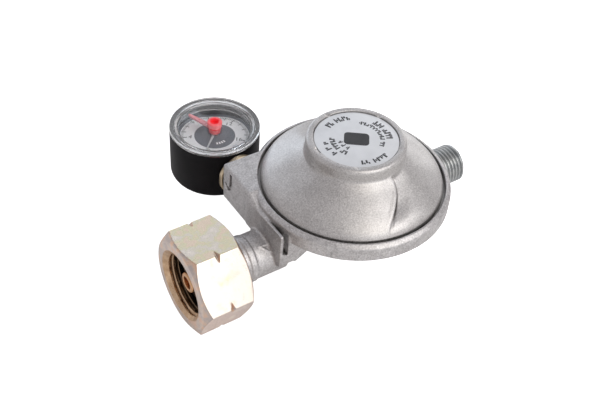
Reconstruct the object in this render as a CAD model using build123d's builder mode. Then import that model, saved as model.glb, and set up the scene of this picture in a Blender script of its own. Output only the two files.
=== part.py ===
"""Low-pressure gas regulator with a union-nut inlet, a manifold arm and a small pressure gauge.

Frame: the origin is the centre of the flat foot under the diaphragm bowl.  +Z runs up the cover's
axis, +X points out of the outlet, -X into the union nut, and +Y to the gauge.  Millimetres.
"""

import os
from math import atan, cos, pi, radians, sin, tan

from build123d import *

# ---------------------------------------------------------------- driving dimensions
# Bowl and rim of the casting
RIM_R = 31.75
RIM_BOTTOM = 19.0
RIM_SIDE_TOP = 23.8
RIM_TOP = 25.1
LIP_R = 29.95           # inner edge of the lip that is rolled over the cover
POCKET_R = 30.6         # pocket for the cover's flange and the diaphragm's edge
CLAMP_Z = 21.2          # ledge that the diaphragm lies on
FOOT_R = 10.0
BOWL_R = 28.4           # where the sloping bowl meets the rim's underside
TUBE_RING = (-40.6, -38.5)      # the ring raised on the inlet tube

# Cover and its tower
COVER_R = 29.4
COVER_FLANGE_R = 30.45
COVER_FLANGE_TOP = 24.15
DIAPHRAGM_T = 1.0       # thickness of the diaphragm's clamped edge
TOWER_R = 15.7
TOWER_TOP = 40.7
SPRING_BORE_R = 12.0
LABEL_R = 13.2
LABEL_SEAT_Z = 39.66
LABEL_T = 0.6

# Inlet: casting tube, nipple, seal and union nut share one axis
INLET_Z = 7.53
TUBE_R = 7.47
TUBE_END = -49.0
GAS_BORE_R = 3.2
NUT_AF = 30.0
NUT_FRONT = -61.9
NUT_BACK = -44.4
NUT_BORE_R = 9.75       # minor diameter of a W21.8 x 1/14 left-hand thread
NUT_SHOULDER = -48.35
NUT_HOLE_R = 7.8
NUT_CORNER_ANGLE = -124.1

# Manifold arm and inlet block
ARM_LEFT = -32.87
ARM_RIGHT = -18.5
ARM_END = 24.95
ARM_BOTTOM = 11.1
BLOCK_RIGHT = -27.4
BLOCK_SIDE = 10.17
BLOCK_TOP = 22.3
WEB_END = -19.5

# Valve inside the bowl
VALVE_Z = 10.2
SEAT_X = -14.0          # tip of the orifice's sealing lip
VALVE_GAP = 1.3         # how far the pad stands off the orifice when the regulator is empty
PIVOT_X = -11.0
PIVOT_Z = 5.6
PIN_R = 0.75
HOOK_Z = 8.0
CAGE_SIDE = 4.4         # half the width of the cage that guides the valve
CARRIER_R = 2.6
ORIFICE_R = 1.4

# Outlet nipple, G 1/4 left hand
OUTLET_Z = 12.02
OUTLET_R = 6.58
OUTLET_END = 44.35
OUTLET_BORE_R = 4.1
SHANK_R = 5.2

# Gauge
GX = -25.86
GY = 42.51
CASE_R = 15.06
CASE_BORE_R = 13.7
CASE_BOTTOM = 6.5
CASE_FLOOR = 9.2
CASE_TOP = 24.5
LENS_TOP = 25.88
DIAL_Z = 20.2
STEM_Z = 16.7
PORT_R = 4.86
PORT_FLOOR = 20.0
NECK_R = 3.1

# Gauge movement: a sector drives the pinion on the pointer's arbor
MODULE = 0.2
PINION_TEETH = 10
SECTOR_TEETH = 50
SECTOR_AZ = 325.0       # direction from the gauge's axis to the sector's pivot
ARBOR_R = 0.5
RUNNING = 0.05          # radial clearance of a turning shaft

os.makedirs("parts", exist_ok=True)

# ---------------------------------------------------------------- planes, axes and helpers
INLET_PLANE = Plane(origin=(0, 0, INLET_Z), x_dir=(1, 0, 0), z_dir=(0, -1, 0))
VALVE_PLANE = Plane(origin=(0, 0, VALVE_Z), x_dir=(1, 0, 0), z_dir=(0, -1, 0))
OUTLET_PLANE = Plane(origin=(0, 0, OUTLET_Z), x_dir=(1, 0, 0), z_dir=(0, -1, 0))
GAUGE_PLANE = Plane(origin=(GX, GY, 0), x_dir=(1, 0, 0), z_dir=(0, -1, 0))
STEM_PLANE = Plane(origin=(GX, 0, STEM_Z), x_dir=(0, 1, 0), z_dir=(1, 0, 0))
INLET_AXIS = Axis((0, 0, INLET_Z), (1, 0, 0))
VALVE_AXIS = Axis((0, 0, VALVE_Z), (1, 0, 0))
OUTLET_AXIS = Axis((0, 0, OUTLET_Z), (1, 0, 0))
GAUGE_AXIS = Axis((GX, GY, 0), (0, 0, 1))
STEM_AXIS = Axis((GX, 0, STEM_Z), (0, 1, 0))


def outline(plane, *points):
    """A closed face with straight sides on a plane."""
    with BuildSketch(plane) as sketch:
        with BuildLine():
            Polyline(*points, close=True)
        make_face()
    return sketch.sketch


def band(plane, low, high, inner, outer):
    """The half section of a plain ring: low to high along the axis, inner to outer radius."""
    return outline(plane, (low, inner), (high, inner), (high, outer), (low, outer))


def disc(x, y, z, radius):
    """A horizontal circular face."""
    with BuildSketch(Plane((x, y, z))) as sketch:
        Circle(radius)
    return sketch.sketch


def finish(piece, name):
    """Label a piece and write it."""
    piece.part.label = name
    export_step(piece.part, f"parts/{name}.step")


def gauge_point(angle, radius):
    """A point in the gauge, by direction and distance from its axis."""
    return (GX + radius * cos(radians(angle)), GY + radius * sin(radians(angle)))


# ---------------------------------------------------------------- casting
with BuildPart() as body_casting:
    # Bowl, rim and foot
    revolve(
        outline(
            Plane.XZ,
            (0, 0), (FOOT_R, 0), (FOOT_R + 0.6, 0.6), (BOWL_R, 18.4), (BOWL_R, RIM_BOTTOM),
            (RIM_R - 0.5, RIM_BOTTOM), (RIM_R, RIM_BOTTOM + 0.5), (RIM_R, RIM_SIDE_TOP),
            (POCKET_R + 0.1, RIM_TOP), (0, RIM_TOP),
        ),
        axis=Axis.Z,
    )
    # Manifold arm, its top stepping down beside the inlet
    extrude(
        outline(
            Plane.YZ.offset(ARM_LEFT),
            (0, ARM_BOTTOM), (ARM_END, ARM_BOTTOM), (ARM_END, RIM_TOP), (6.8, RIM_TOP),
            (4.6, BLOCK_TOP), (0, BLOCK_TOP),
        ),
        amount=ARM_RIGHT - ARM_LEFT,
    )
    # Inlet block and the tube that the nut slides on
    extrude(
        outline(
            Plane.YZ.offset(ARM_LEFT),
            (-BLOCK_SIDE, 9.5), (-BLOCK_SIDE + 1.0, 8.5), (4.0, 8.5), (6.4, ARM_BOTTOM),
            (BLOCK_SIDE, ARM_BOTTOM), (BLOCK_SIDE, BLOCK_TOP), (-BLOCK_SIDE, BLOCK_TOP),
        ),
        amount=BLOCK_RIGHT - ARM_LEFT,
    )
    # Web that carries the block's underside up to the bowl
    extrude(
        outline(
            Plane.XZ.offset(BLOCK_SIDE),
            (BLOCK_RIGHT - 0.5, 9.5), (BLOCK_RIGHT + 0.6, 9.0), (WEB_END, 13.4), (WEB_END, RIM_BOTTOM + 0.5),
            (BLOCK_RIGHT - 0.5, RIM_BOTTOM + 0.5),
        ),
        amount=-2 * BLOCK_SIDE,
    )
    revolve(band(INLET_PLANE, TUBE_END, BLOCK_RIGHT, 0, TUBE_R), axis=INLET_AXIS)
    revolve(band(INLET_PLANE, *TUBE_RING, 0, TUBE_R + 0.3), axis=INLET_AXIS)
    # Bosses round the valve seat and the outlet
    revolve(band(VALVE_PLANE, -28.0, -16.0, 0, 4.6), axis=VALVE_AXIS)
    revolve(band(OUTLET_PLANE, 14.0, 28.0, 0, 6.9), axis=OUTLET_AXIS)
    # Chamber under the diaphragm and the pocket for the clamped parts
    revolve(
        outline(
            Plane.XZ,
            (0, 2.4), (9.4, 2.6), (25.4, 18.4), (26.0, 19.4), (26.0, CLAMP_Z), (POCKET_R, CLAMP_Z),
            (POCKET_R, COVER_FLANGE_TOP), (LIP_R, COVER_FLANGE_TOP), (LIP_R, RIM_TOP + 1),
            (0, RIM_TOP + 1),
        ),
        axis=Axis.Z,
        mode=Mode.SUBTRACT,
    )
    # Valve cage: guides the valve's carrier and carries the lever's pin
    revolve(band(VALVE_PLANE, -21.0, -15.2, 0, 4.6), axis=VALVE_AXIS)
    extrude(
        outline(Plane.XZ.offset(CAGE_SIDE), (-16.0, 1.8), (-7.6, 1.8), (-7.6, 14.2), (-16.0, 14.2)),
        amount=-2 * CAGE_SIDE,
    )
    revolve(band(VALVE_PLANE, -15.2, -7.0, 0, CARRIER_R + 0.06), axis=VALVE_AXIS, mode=Mode.SUBTRACT)
    extrude(
        outline(Plane.XZ.offset(1.5), (-13.6, 2.4), (-7.0, 2.4), (-7.0, VALVE_Z), (-13.6, VALVE_Z)),
        amount=-3.0,
        mode=Mode.SUBTRACT,
    )
    with BuildSketch(Plane.XZ.offset(6)):
        with Locations((PIVOT_X, PIVOT_Z)):
            Circle(PIN_R)
    extrude(amount=-12, mode=Mode.SUBTRACT)
    # Gas ways across the cage beside the seat
    with BuildSketch(Plane.XZ.offset(6)):
        with Locations((-13.7, VALVE_Z)):
            Circle(1.2)
    extrude(amount=-12, mode=Mode.SUBTRACT)
    # Inlet bore, seat bore and the drilled way up to the gauge port
    revolve(band(INLET_PLANE, TUBE_END, -38.9, 0, 5.0), axis=INLET_AXIS, mode=Mode.SUBTRACT)
    revolve(band(INLET_PLANE, -39.0, -26.0, 0, GAS_BORE_R), axis=INLET_AXIS, mode=Mode.SUBTRACT)
    revolve(band(VALVE_PLANE, -28.0, -21.4, 0, 2.2), axis=VALVE_AXIS, mode=Mode.SUBTRACT)
    revolve(band(VALVE_PLANE, -21.5, -15.0, 0, 3.2), axis=VALVE_AXIS, mode=Mode.SUBTRACT)
    revolve(band(STEM_PLANE, PORT_FLOOR, ARM_END + 1, 0, PORT_R), axis=STEM_AXIS, mode=Mode.SUBTRACT)
    revolve(band(STEM_PLANE, -1.0, PORT_FLOOR + 0.2, 0, 1.3), axis=STEM_AXIS, mode=Mode.SUBTRACT)
    extrude(disc(GX, 0, VALVE_Z, 1.2), amount=STEM_Z - VALVE_Z, mode=Mode.SUBTRACT)
    # Outlet bore, and room for the nipple under the rim
    revolve(band(OUTLET_PLANE, 10.0, 29.0, 0, SHANK_R), axis=OUTLET_AXIS, mode=Mode.SUBTRACT)
    revolve(band(OUTLET_PLANE, 28.0, 29.0, 0, OUTLET_R + 0.2), axis=OUTLET_AXIS, mode=Mode.SUBTRACT)
    # Slot beside the block's outer plate
    extrude(
        outline(
            Plane.XZ.offset(BLOCK_SIDE + 1), (-31.8, 14.5), (-29.9, 13.3), (-29.9, 24), (-31.8, 24)
        ),
        amount=-3.6,
        mode=Mode.SUBTRACT,
    )
finish(body_casting, "body_casting")

# ---------------------------------------------------------------- cover, label and set screw
with BuildPart() as cover:
    with BuildSketch(Plane.XZ):
        with BuildLine():
            foot = Polyline(
                (27.2, CLAMP_Z + DIAPHRAGM_T), (COVER_FLANGE_R, CLAMP_Z + DIAPHRAGM_T),
                (COVER_FLANGE_R, COVER_FLANGE_TOP), (COVER_R, COVER_FLANGE_TOP), (COVER_R, 25.1),
            )
            dome = Spline(foot @ 1, (28.4, 26.7), (26.2, 28.7), (22.0, 31.65), (18.0, 34.3), (16.1, 35.7))
            tower = Polyline(
                dome @ 1, (TOWER_R, 36.3), (TOWER_R, 39.8), (14.8, TOWER_TOP), (13.45, TOWER_TOP),
                (13.45, LABEL_SEAT_Z), (SPRING_BORE_R, LABEL_SEAT_Z), (SPRING_BORE_R, 33.6),
                (14.6, 33.2), (20.2, 29.6), (24.6, 26.6), (27.2, 23.9), foot @ 0,
            )
        make_face()
    revolve(axis=Axis.Z)
    # Breather hole under the tower, on the side away from the inlet
    with BuildSketch(Plane.XZ.offset(-30)):
        with Locations((0, 33.9)):
            Circle(0.9)
    extrude(amount=20, mode=Mode.SUBTRACT)
finish(cover, "cover")

with BuildPart() as label_plate:
    extrude(disc(0, 0, LABEL_SEAT_Z, LABEL_R), amount=LABEL_T)
finish(label_plate, "label_plate")

SCREW_BOTTOM = 33.9
SCREW_TOP = 39.0
SCREW_R = SPRING_BORE_R - 0.02
SCREW_BORE_R = 6.2
with BuildPart() as adjusting_screw:
    revolve(
        outline(
            Plane.XZ,
            (SCREW_BORE_R, SCREW_BOTTOM), (8.4, SCREW_BOTTOM), (8.4, 33.4), (9.0, 32.6),
            (9.0, SCREW_BOTTOM), (SCREW_R, SCREW_BOTTOM), (SCREW_R, SCREW_TOP), (SCREW_BORE_R, SCREW_TOP),
        ),
        axis=Axis.Z,
    )
    # Two key slots across the top face
    with BuildSketch(Plane.XY.offset(SCREW_TOP)):
        with PolarLocations(9.0, 2):
            Rectangle(3.0, 2.2)
    extrude(amount=-2.0, mode=Mode.SUBTRACT)
finish(adjusting_screw, "adjusting_screw")

# ---------------------------------------------------------------- diaphragm assembly
HOLE_R = 2.3            # the diaphragm's centre hole
STEM_R = 1.95
REST_Z = 20.4           # underside of the diaphragm's middle when the spring holds it down
SKIN = 0.8
PLATE_T = 1.0
PLATE_TOP = REST_Z + SKIN + PLATE_T
NUT_SEAT_Z = 29.2

with BuildPart() as diaphragm:
    with BuildSketch(Plane.XZ):
        with BuildLine():
            lower = Polyline((HOLE_R, REST_Z), (18.2, REST_Z))
            roll_in = ThreePointArc(lower @ 1, (21.2, 23.1), (24.6, CLAMP_Z))
            edge = Polyline(
                roll_in @ 1, (30.3, CLAMP_Z), (30.3, CLAMP_Z + DIAPHRAGM_T), (25.1, CLAMP_Z + DIAPHRAGM_T)
            )
            roll_out = ThreePointArc(edge @ 1, (21.3, 23.9), (17.8, REST_Z + SKIN))
            Polyline(roll_out @ 1, (HOLE_R, REST_Z + SKIN), (HOLE_R, REST_Z))
        make_face()
    revolve(axis=Axis.Z)
finish(diaphragm, "diaphragm")

with BuildPart() as diaphragm_plate:
    revolve(
        outline(
            Plane.XZ,
            (2.0, REST_Z + SKIN), (16.6, REST_Z + SKIN), (17.4, REST_Z + SKIN + 0.8), (17.4, 24.0),
            (16.5, 24.0), (16.5, PLATE_TOP), (2.0, PLATE_TOP),
        ),
        axis=Axis.Z,
    )
finish(diaphragm_plate, "diaphragm_plate")

with BuildPart() as diaphragm_stem:
    revolve(
        outline(
            Plane.XZ,
            (0, 17.0), (STEM_R, 17.0), (STEM_R, 19.0), (6.0, 19.2), (6.0, REST_Z), (STEM_R, REST_Z),
            (STEM_R, 32.2), (STEM_R - 0.3, 32.5), (0, 32.5),
        ),
        axis=Axis.Z,
    )
    # Square shank with the window that the lever's tip works in
    extrude(outline(Plane.XY.offset(5.4), (-1.6, -2.6), (1.6, -2.6), (1.6, 2.6), (-1.6, 2.6)), amount=12.6)
    extrude(
        outline(
            Plane.XZ.offset(1.55),
            (-2.0, HOOK_Z - 1.3), (2.0, HOOK_Z - 1.3), (2.0, HOOK_Z + 1.3), (-2.0, HOOK_Z + 1.3),
        ),
        amount=-3.1,
        mode=Mode.SUBTRACT,
    )
finish(diaphragm_stem, "diaphragm_stem")

with BuildPart() as relief_nut:
    with BuildSketch(Plane.XY.offset(NUT_SEAT_Z)):
        RegularPolygon(4.6, 6)
        Circle(STEM_R, mode=Mode.SUBTRACT)
    extrude(amount=2.2)
finish(relief_nut, "relief_nut")


def compression_spring(wire_r, coil_r, low, high, turns):
    """A helical spring whose wire touches both of its seats."""
    first = low + wire_r
    rise = high - low - 2 * wire_r
    with BuildPart() as spring:
        with BuildLine() as wire_path:
            Helix(rise / turns, rise, coil_r, center=(0, 0, first))
        with BuildSketch(Plane(origin=(coil_r, 0, first), z_dir=wire_path.line % 0)):
            Circle(wire_r)
        sweep(path=wire_path.line, is_frenet=True)
    return spring


main_spring = compression_spring(0.85, 10.3, PLATE_TOP + 0.02, SCREW_BOTTOM - 0.02, 4.5)
finish(main_spring, "main_spring")
relief_spring = compression_spring(0.35, 3.3, PLATE_TOP + 0.02, NUT_SEAT_Z - 0.02, 5)
finish(relief_spring, "relief_spring")

# ---------------------------------------------------------------- valve and lever
with BuildPart() as orifice_seat:
    revolve(
        outline(
            VALVE_PLANE,
            (-21.3, ORIFICE_R), (SEAT_X, ORIFICE_R), (SEAT_X, 1.8), (-14.6, 2.4), (-15.2, 2.5), (-15.2, 3.18),
            (-21.3, 3.18),
        ),
        axis=VALVE_AXIS,
    )
finish(orifice_seat, "orifice_seat")

PAD_FACE = SEAT_X + VALVE_GAP
PAD_R = 2.1
with BuildPart() as valve_pad:
    revolve(band(VALVE_PLANE, PAD_FACE, PAD_FACE + 1.0, 0, PAD_R), axis=VALVE_AXIS)
finish(valve_pad, "valve_pad")

with BuildPart() as valve_carrier:
    revolve(band(VALVE_PLANE, PAD_FACE + 0.3, -8.4, 0, CARRIER_R), axis=VALVE_AXIS)
    revolve(band(VALVE_PLANE, PAD_FACE, PAD_FACE + 1.0, 0, PAD_R), axis=VALVE_AXIS, mode=Mode.SUBTRACT)
    # Slot that takes the lever's short arm from below, open to the right over the long arm's path
    extrude(
        outline(
            Plane.XZ.offset(1.5),
            (PIVOT_X - 0.65, 7.0), (PIVOT_X + 3.0, 7.0), (PIVOT_X + 3.0, 8.3), (PIVOT_X + 1.45, 8.3),
            (PIVOT_X + 1.15, 9.3), (PIVOT_X + 1.15, 11.3), (PIVOT_X - 0.65, 11.3),
        ),
        amount=-3.0,
        mode=Mode.SUBTRACT,
    )
finish(valve_carrier, "valve_carrier")

LEVER_T = 2.4
ARM_H = 0.6             # half the height of the lever's long arm
with BuildPart() as lever:
    with BuildSketch(Plane.XZ.offset(LEVER_T / 2)):
        with Locations((PIVOT_X, PIVOT_Z)):
            Circle(1.7)
        # Short arm up into the carrier
        with Locations((PIVOT_X + 0.25, (PIVOT_Z + VALVE_Z) / 2)):
            Rectangle(1.0, VALVE_Z - PIVOT_Z)
        with Locations((PIVOT_X + 0.25, VALVE_Z)):
            Circle(0.75)
        # Long arm out to the stem, with a bend near its tip
        with BuildLine():
            Polyline(
                (PIVOT_X, PIVOT_Z - 0.7), (-4.2, 8.55 - ARM_H), (1.9, 7.75 - ARM_H),
                (1.9, 7.75 + ARM_H), (-4.6, 8.6 + ARM_H), (PIVOT_X, PIVOT_Z + 1.0), close=True,
            )
        make_face()
        with Locations((PIVOT_X, PIVOT_Z)):
            Circle(PIN_R + RUNNING, mode=Mode.SUBTRACT)
    extrude(amount=-LEVER_T)
finish(lever, "lever")

with BuildPart() as lever_pin:
    with BuildSketch(Plane.XZ.offset(4.3)):
        with Locations((PIVOT_X, PIVOT_Z)):
            Circle(PIN_R)
    extrude(amount=-8.6)
finish(lever_pin, "lever_pin")

# ---------------------------------------------------------------- inlet
NOZZLE_R = 3.4
NOZZLE_TIP = -59.65
NOZZLE_BORE_R = 2.05
HEAD_FRONT = -52.0
HEAD_R = 9.2
SEAL_FRONT = -55.2
SEAL_ROOT_R = 3.6       # the nozzle is thicker where the seal sits on it
with BuildPart() as inlet_nipple:
    revolve(
        outline(
            INLET_PLANE,
            (NOZZLE_TIP, NOZZLE_BORE_R), (-39.5, NOZZLE_BORE_R), (-39.5, 4.7), (-39.8, 4.98),
            (TUBE_END, 4.98), (TUBE_END, HEAD_R), (HEAD_FRONT, HEAD_R), (HEAD_FRONT, SEAL_ROOT_R),
            (SEAL_FRONT, SEAL_ROOT_R), (SEAL_FRONT, NOZZLE_R), (NOZZLE_TIP + 0.5, NOZZLE_R),
            (NOZZLE_TIP, NOZZLE_R - 0.5),
        ),
        axis=INLET_AXIS,
    )
finish(inlet_nipple, "inlet_nipple")

with BuildPart() as inlet_seal:
    revolve(
        outline(
            INLET_PLANE,
            (SEAL_FRONT, SEAL_ROOT_R + 0.05), (HEAD_FRONT, SEAL_ROOT_R + 0.05), (HEAD_FRONT, HEAD_R),
            (SEAL_FRONT + 0.6, HEAD_R), (SEAL_FRONT, HEAD_R - 0.6),
        ),
        axis=INLET_AXIS,
    )
finish(inlet_seal, "inlet_seal")

with BuildPart() as inlet_filter:
    revolve(band(INLET_PLANE, -39.45, -38.95, 0, 4.9), axis=INLET_AXIS)
finish(inlet_filter, "inlet_filter")

with BuildPart() as nut_washer:
    revolve(band(INLET_PLANE, TUBE_END + 0.02, NUT_SHOULDER - 0.02, NUT_HOLE_R, 9.4), axis=INLET_AXIS)
finish(nut_washer, "nut_washer")

NUT_CORNER_R = NUT_AF / 2 / cos(radians(30))
NUT_CHAMFER_R = 14.25
NUT_CHAMFER = 1.77
NUT_MOUTH_R = 11.5
NOTCH_DEPTH = 1.3
NOTCH_HALF = 0.95
with BuildPart() as union_nut:
    hex_plane = Plane(origin=(NUT_FRONT, 0, INLET_Z), x_dir=(0, 1, 0), z_dir=(1, 0, 0))
    with BuildSketch(hex_plane):
        RegularPolygon(NUT_CORNER_R, 6, rotation=NUT_CORNER_ANGLE)
    extrude(amount=NUT_BACK - NUT_FRONT)
    # Both ends chamfered to a round
    revolve(
        outline(
            INLET_PLANE,
            (NUT_FRONT, 0), (NUT_BACK, 0), (NUT_BACK, NUT_CHAMFER_R),
            (NUT_BACK - NUT_CHAMFER, NUT_CORNER_R + 0.1), (NUT_FRONT + NUT_CHAMFER, NUT_CORNER_R + 0.1),
            (NUT_FRONT, NUT_CHAMFER_R),
        ),
        axis=INLET_AXIS,
        mode=Mode.INTERSECT,
    )
    # Threaded bore with a countersunk mouth, then the hole for the tube
    revolve(
        outline(
            INLET_PLANE,
            (NUT_FRONT - 1, 0), (NUT_BACK + 1, 0), (NUT_BACK + 1, NUT_HOLE_R), (NUT_SHOULDER, NUT_HOLE_R),
            (NUT_SHOULDER, NUT_BORE_R), (NUT_FRONT + 1.6, NUT_BORE_R), (NUT_FRONT, NUT_MOUTH_R),
            (NUT_FRONT - 1, NUT_MOUTH_R),
        ),
        axis=INLET_AXIS,
        mode=Mode.SUBTRACT,
    )
    # The notches on the corners that mark a left-hand thread
    middle = (NUT_FRONT + NUT_BACK) / 2
    for k in range(6):
        angle = radians(NUT_CORNER_ANGLE - 60 * k)
        corner = (0, NUT_CORNER_R * cos(angle), NUT_CORNER_R * sin(angle) + INLET_Z)
        tangent = (0, -sin(angle), cos(angle))
        notch = Plane(origin=(middle, corner[1], corner[2]), x_dir=(1, 0, 0), z_dir=tangent)
        extrude(
            outline(notch, (-NOTCH_HALF, 0.4), (NOTCH_HALF, 0.4), (0, -NOTCH_DEPTH)),
            amount=4,
            both=True,
            mode=Mode.SUBTRACT,
        )
        extrude(
            outline(notch, (-NOTCH_HALF, -0.4), (NOTCH_HALF, -0.4), (0, NOTCH_DEPTH)),
            amount=4,
            both=True,
            mode=Mode.SUBTRACT,
        )
finish(union_nut, "union_nut")

# ---------------------------------------------------------------- outlet
NIPPLE_ROOT = 18.6
GROOVE_R = 5.95         # the plain groove behind the thread
with BuildPart() as outlet_nipple:
    revolve(
        outline(
            OUTLET_PLANE,
            (NIPPLE_ROOT, OUTLET_BORE_R), (OUTLET_END - 0.9, OUTLET_BORE_R),
            (OUTLET_END, OUTLET_BORE_R + 0.9), (OUTLET_END, 6.15), (OUTLET_END - 0.75, OUTLET_R),
            (32.0, OUTLET_R), (31.8, GROOVE_R), (30.4, GROOVE_R), (30.2, OUTLET_R), (28.0, OUTLET_R),
            (28.0, SHANK_R - 0.02), (NIPPLE_ROOT, SHANK_R - 0.02),
        ),
        axis=OUTLET_AXIS,
    )
finish(outlet_nipple, "outlet_nipple")

# ---------------------------------------------------------------- gauge case, lens and stem
CASE_EDGE = 2.2
with BuildPart() as gauge_case:
    with BuildSketch(GAUGE_PLANE):
        with BuildLine():
            base = Line((0, CASE_BOTTOM), (CASE_R - CASE_EDGE, CASE_BOTTOM))
            turn = RadiusArc(base @ 1, (CASE_R, CASE_BOTTOM + CASE_EDGE), -CASE_EDGE)
            Polyline(
                turn @ 1, (CASE_R, CASE_TOP), (CASE_BORE_R, CASE_TOP), (CASE_BORE_R, CASE_FLOOR),
                (0, CASE_FLOOR), base @ 0,
            )
        make_face()
    revolve(axis=GAUGE_AXIS)
    revolve(band(STEM_PLANE, ARM_END, GY - 10, 0, NECK_R + 0.05), axis=STEM_AXIS, mode=Mode.SUBTRACT)
finish(gauge_case, "gauge_case")

HUB_HOLE_R = 1.65
with BuildPart() as gauge_lens:
    revolve(
        outline(
            GAUGE_PLANE,
            (HUB_HOLE_R, 24.3), (12.3, 24.3), (12.5, 22.2), (13.6, 22.2), (13.6, CASE_TOP + 0.04),
            (CASE_R, CASE_TOP + 0.04), (CASE_R, LENS_TOP - 0.5), (CASE_R - 0.5, LENS_TOP),
            (13.0, LENS_TOP), (12.4, 25.3), (HUB_HOLE_R, 25.3),
        ),
        axis=GAUGE_AXIS,
    )
finish(gauge_lens, "gauge_lens")

SEAL_T = 0.6
with BuildPart() as gauge_seal:
    revolve(band(STEM_PLANE, ARM_END, ARM_END + SEAL_T, PORT_R + 0.1, 6.6), axis=STEM_AXIS)
finish(gauge_seal, "gauge_seal")

HEX_R = 8.08            # corner to centre, 14 mm across the flats
HEX_T = 1.8
HEX_END = ARM_END + SEAL_T + HEX_T
SOCKET_OUTER = 29.95
SOCKET_INNER = GY - 7.0
SOCKET_BOTTOM = 11.6
ROOT_Y = GY - 9.6       # where the tube's root is fed
TUBE_Z = 14.6           # middle of the tube's height
SCREW_Y = GY - 9.0
SCREW_SIDE = 3.2        # half the distance between the dial's screws
with BuildPart() as gauge_socket:
    # Threaded stem, hexagon and neck
    revolve(
        outline(
            STEM_PLANE,
            (20.3, 1.2), (31.0, 1.2), (31.0, NECK_R), (HEX_END, NECK_R), (HEX_END, PORT_R - 0.02),
            (20.7, PORT_R - 0.02), (20.3, 4.4),
        ),
        axis=STEM_AXIS,
    )
    with BuildSketch(Plane(origin=(GX, ARM_END + SEAL_T, STEM_Z), x_dir=(1, 0, 0), z_dir=(0, 1, 0))):
        RegularPolygon(HEX_R, 6, rotation=30)
        Circle(3.0, mode=Mode.SUBTRACT)
    extrude(amount=HEX_T)
    # Block inside the case, and the tongue that carries the movement
    with Locations((GX, (SOCKET_OUTER + SOCKET_INNER) / 2, (SOCKET_BOTTOM + DIAL_Z) / 2)):
        Box(9.0, SOCKET_INNER - SOCKET_OUTER, DIAL_Z - SOCKET_BOTTOM)
    with Locations((GX, GY - 3.0, SOCKET_BOTTOM + 1.0)):
        Box(7.0, 10.0, 2.0)
    revolve(band(STEM_PLANE, 16.0, SOCKET_INNER - 2, 0, 1.2), axis=STEM_AXIS, mode=Mode.SUBTRACT)
    # Way from the stem to the tube's root
    with BuildSketch(Plane(origin=(GX, ROOT_Y, TUBE_Z), x_dir=(0, 1, 0), z_dir=(-1, 0, 0))):
        Circle(0.9)
    extrude(amount=6, mode=Mode.SUBTRACT)
    extrude(disc(GX, ROOT_Y, TUBE_Z, 0.9), amount=1.6, mode=Mode.SUBTRACT)
    # Tapped holes for the dial's screws
    with BuildSketch(Plane((GX, SCREW_Y, DIAL_Z))):
        with Locations((-SCREW_SIDE, 0), (SCREW_SIDE, 0)):
            Circle(0.5)
    extrude(amount=-1.8, mode=Mode.SUBTRACT)
finish(gauge_socket, "gauge_socket")

# ---------------------------------------------------------------- dial and its screws
DIAL_T = 0.3
with BuildPart() as gauge_dial:
    extrude(disc(GX, GY, DIAL_Z, 13.2), amount=DIAL_T)
    extrude(disc(GX, GY, DIAL_Z, 1.2), amount=DIAL_T, mode=Mode.SUBTRACT)
    with BuildSketch(Plane((GX, SCREW_Y, DIAL_Z))):
        with Locations((-SCREW_SIDE, 0), (SCREW_SIDE, 0)):
            Circle(0.55)
    extrude(amount=DIAL_T, mode=Mode.SUBTRACT)
finish(gauge_dial, "gauge_dial")

with BuildPart() as dial_screws:
    with BuildSketch(Plane((GX, SCREW_Y, DIAL_Z + DIAL_T))):
        with Locations((-SCREW_SIDE, 0), (SCREW_SIDE, 0)):
            Circle(0.9)
    extrude(amount=0.4)
    with BuildSketch(Plane((GX, SCREW_Y, DIAL_Z + DIAL_T))):
        with Locations((-SCREW_SIDE, 0), (SCREW_SIDE, 0)):
            Circle(0.48)
    extrude(amount=-1.9)
finish(dial_screws, "dial_screws")

# ---------------------------------------------------------------- bourdon tube
TUBE_IN = 10.3
TUBE_OUT = 11.7
TUBE_H = 4.2
TIP_AZ = -6.0
TUBE_SWEEP = 252.0      # from the closed tip round to the root in the socket
TIP_LENGTH = 8.0        # degrees of arc that the plug in the tip takes up


def tube_plane():
    """The upright plane through the gauge's axis and the tube's closed end."""
    angle = radians(TIP_AZ)
    return Plane(origin=(GX, GY, 0), x_dir=(cos(angle), sin(angle), 0), z_dir=(sin(angle), -cos(angle), 0))


with BuildPart() as bourdon_tube:
    with BuildSketch(tube_plane()):
        with Locations(((TUBE_IN + TUBE_OUT) / 2, TUBE_Z)):
            SlotOverall(TUBE_H, TUBE_OUT - TUBE_IN, rotation=90)
            SlotOverall(TUBE_H - 0.5, TUBE_OUT - TUBE_IN - 0.5, rotation=90, mode=Mode.SUBTRACT)
    revolve(axis=GAUGE_AXIS, revolution_arc=TUBE_SWEEP)
finish(bourdon_tube, "bourdon_tube")

LINK_PIN_R = 0.32
TIP_PIN = gauge_point(TIP_AZ - 5, 9.55)
with BuildPart() as bourdon_tip:
    # Plug that closes the tube's end, with an ear and a pin for the link
    with BuildSketch(tube_plane()):
        with Locations(((TUBE_IN + TUBE_OUT) / 2, TUBE_Z)):
            SlotOverall(TUBE_H, TUBE_OUT - TUBE_IN, rotation=90)
    revolve(axis=GAUGE_AXIS, revolution_arc=-TIP_LENGTH)
    with BuildSketch(Plane.XY.offset(15.2)):
        with Locations(TIP_PIN, gauge_point(TIP_AZ - 5, 11.0)):
            Circle(0.6)
        make_hull()
    extrude(amount=0.8)
    extrude(disc(*TIP_PIN, 16.0, LINK_PIN_R), amount=1.3)
finish(bourdon_tip, "bourdon_tip")

# ---------------------------------------------------------------- gears
PINION_R = MODULE * PINION_TEETH / 2
SECTOR_R = MODULE * SECTOR_TEETH / 2
SECTOR_X, SECTOR_Y = gauge_point(SECTOR_AZ, PINION_R + SECTOR_R)
ADDENDUM = 0.75 * MODULE
DEDENDUM = 1.35 * MODULE
BACKLASH = 0.07
PRESSURE_ANGLE = radians(20)


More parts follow.
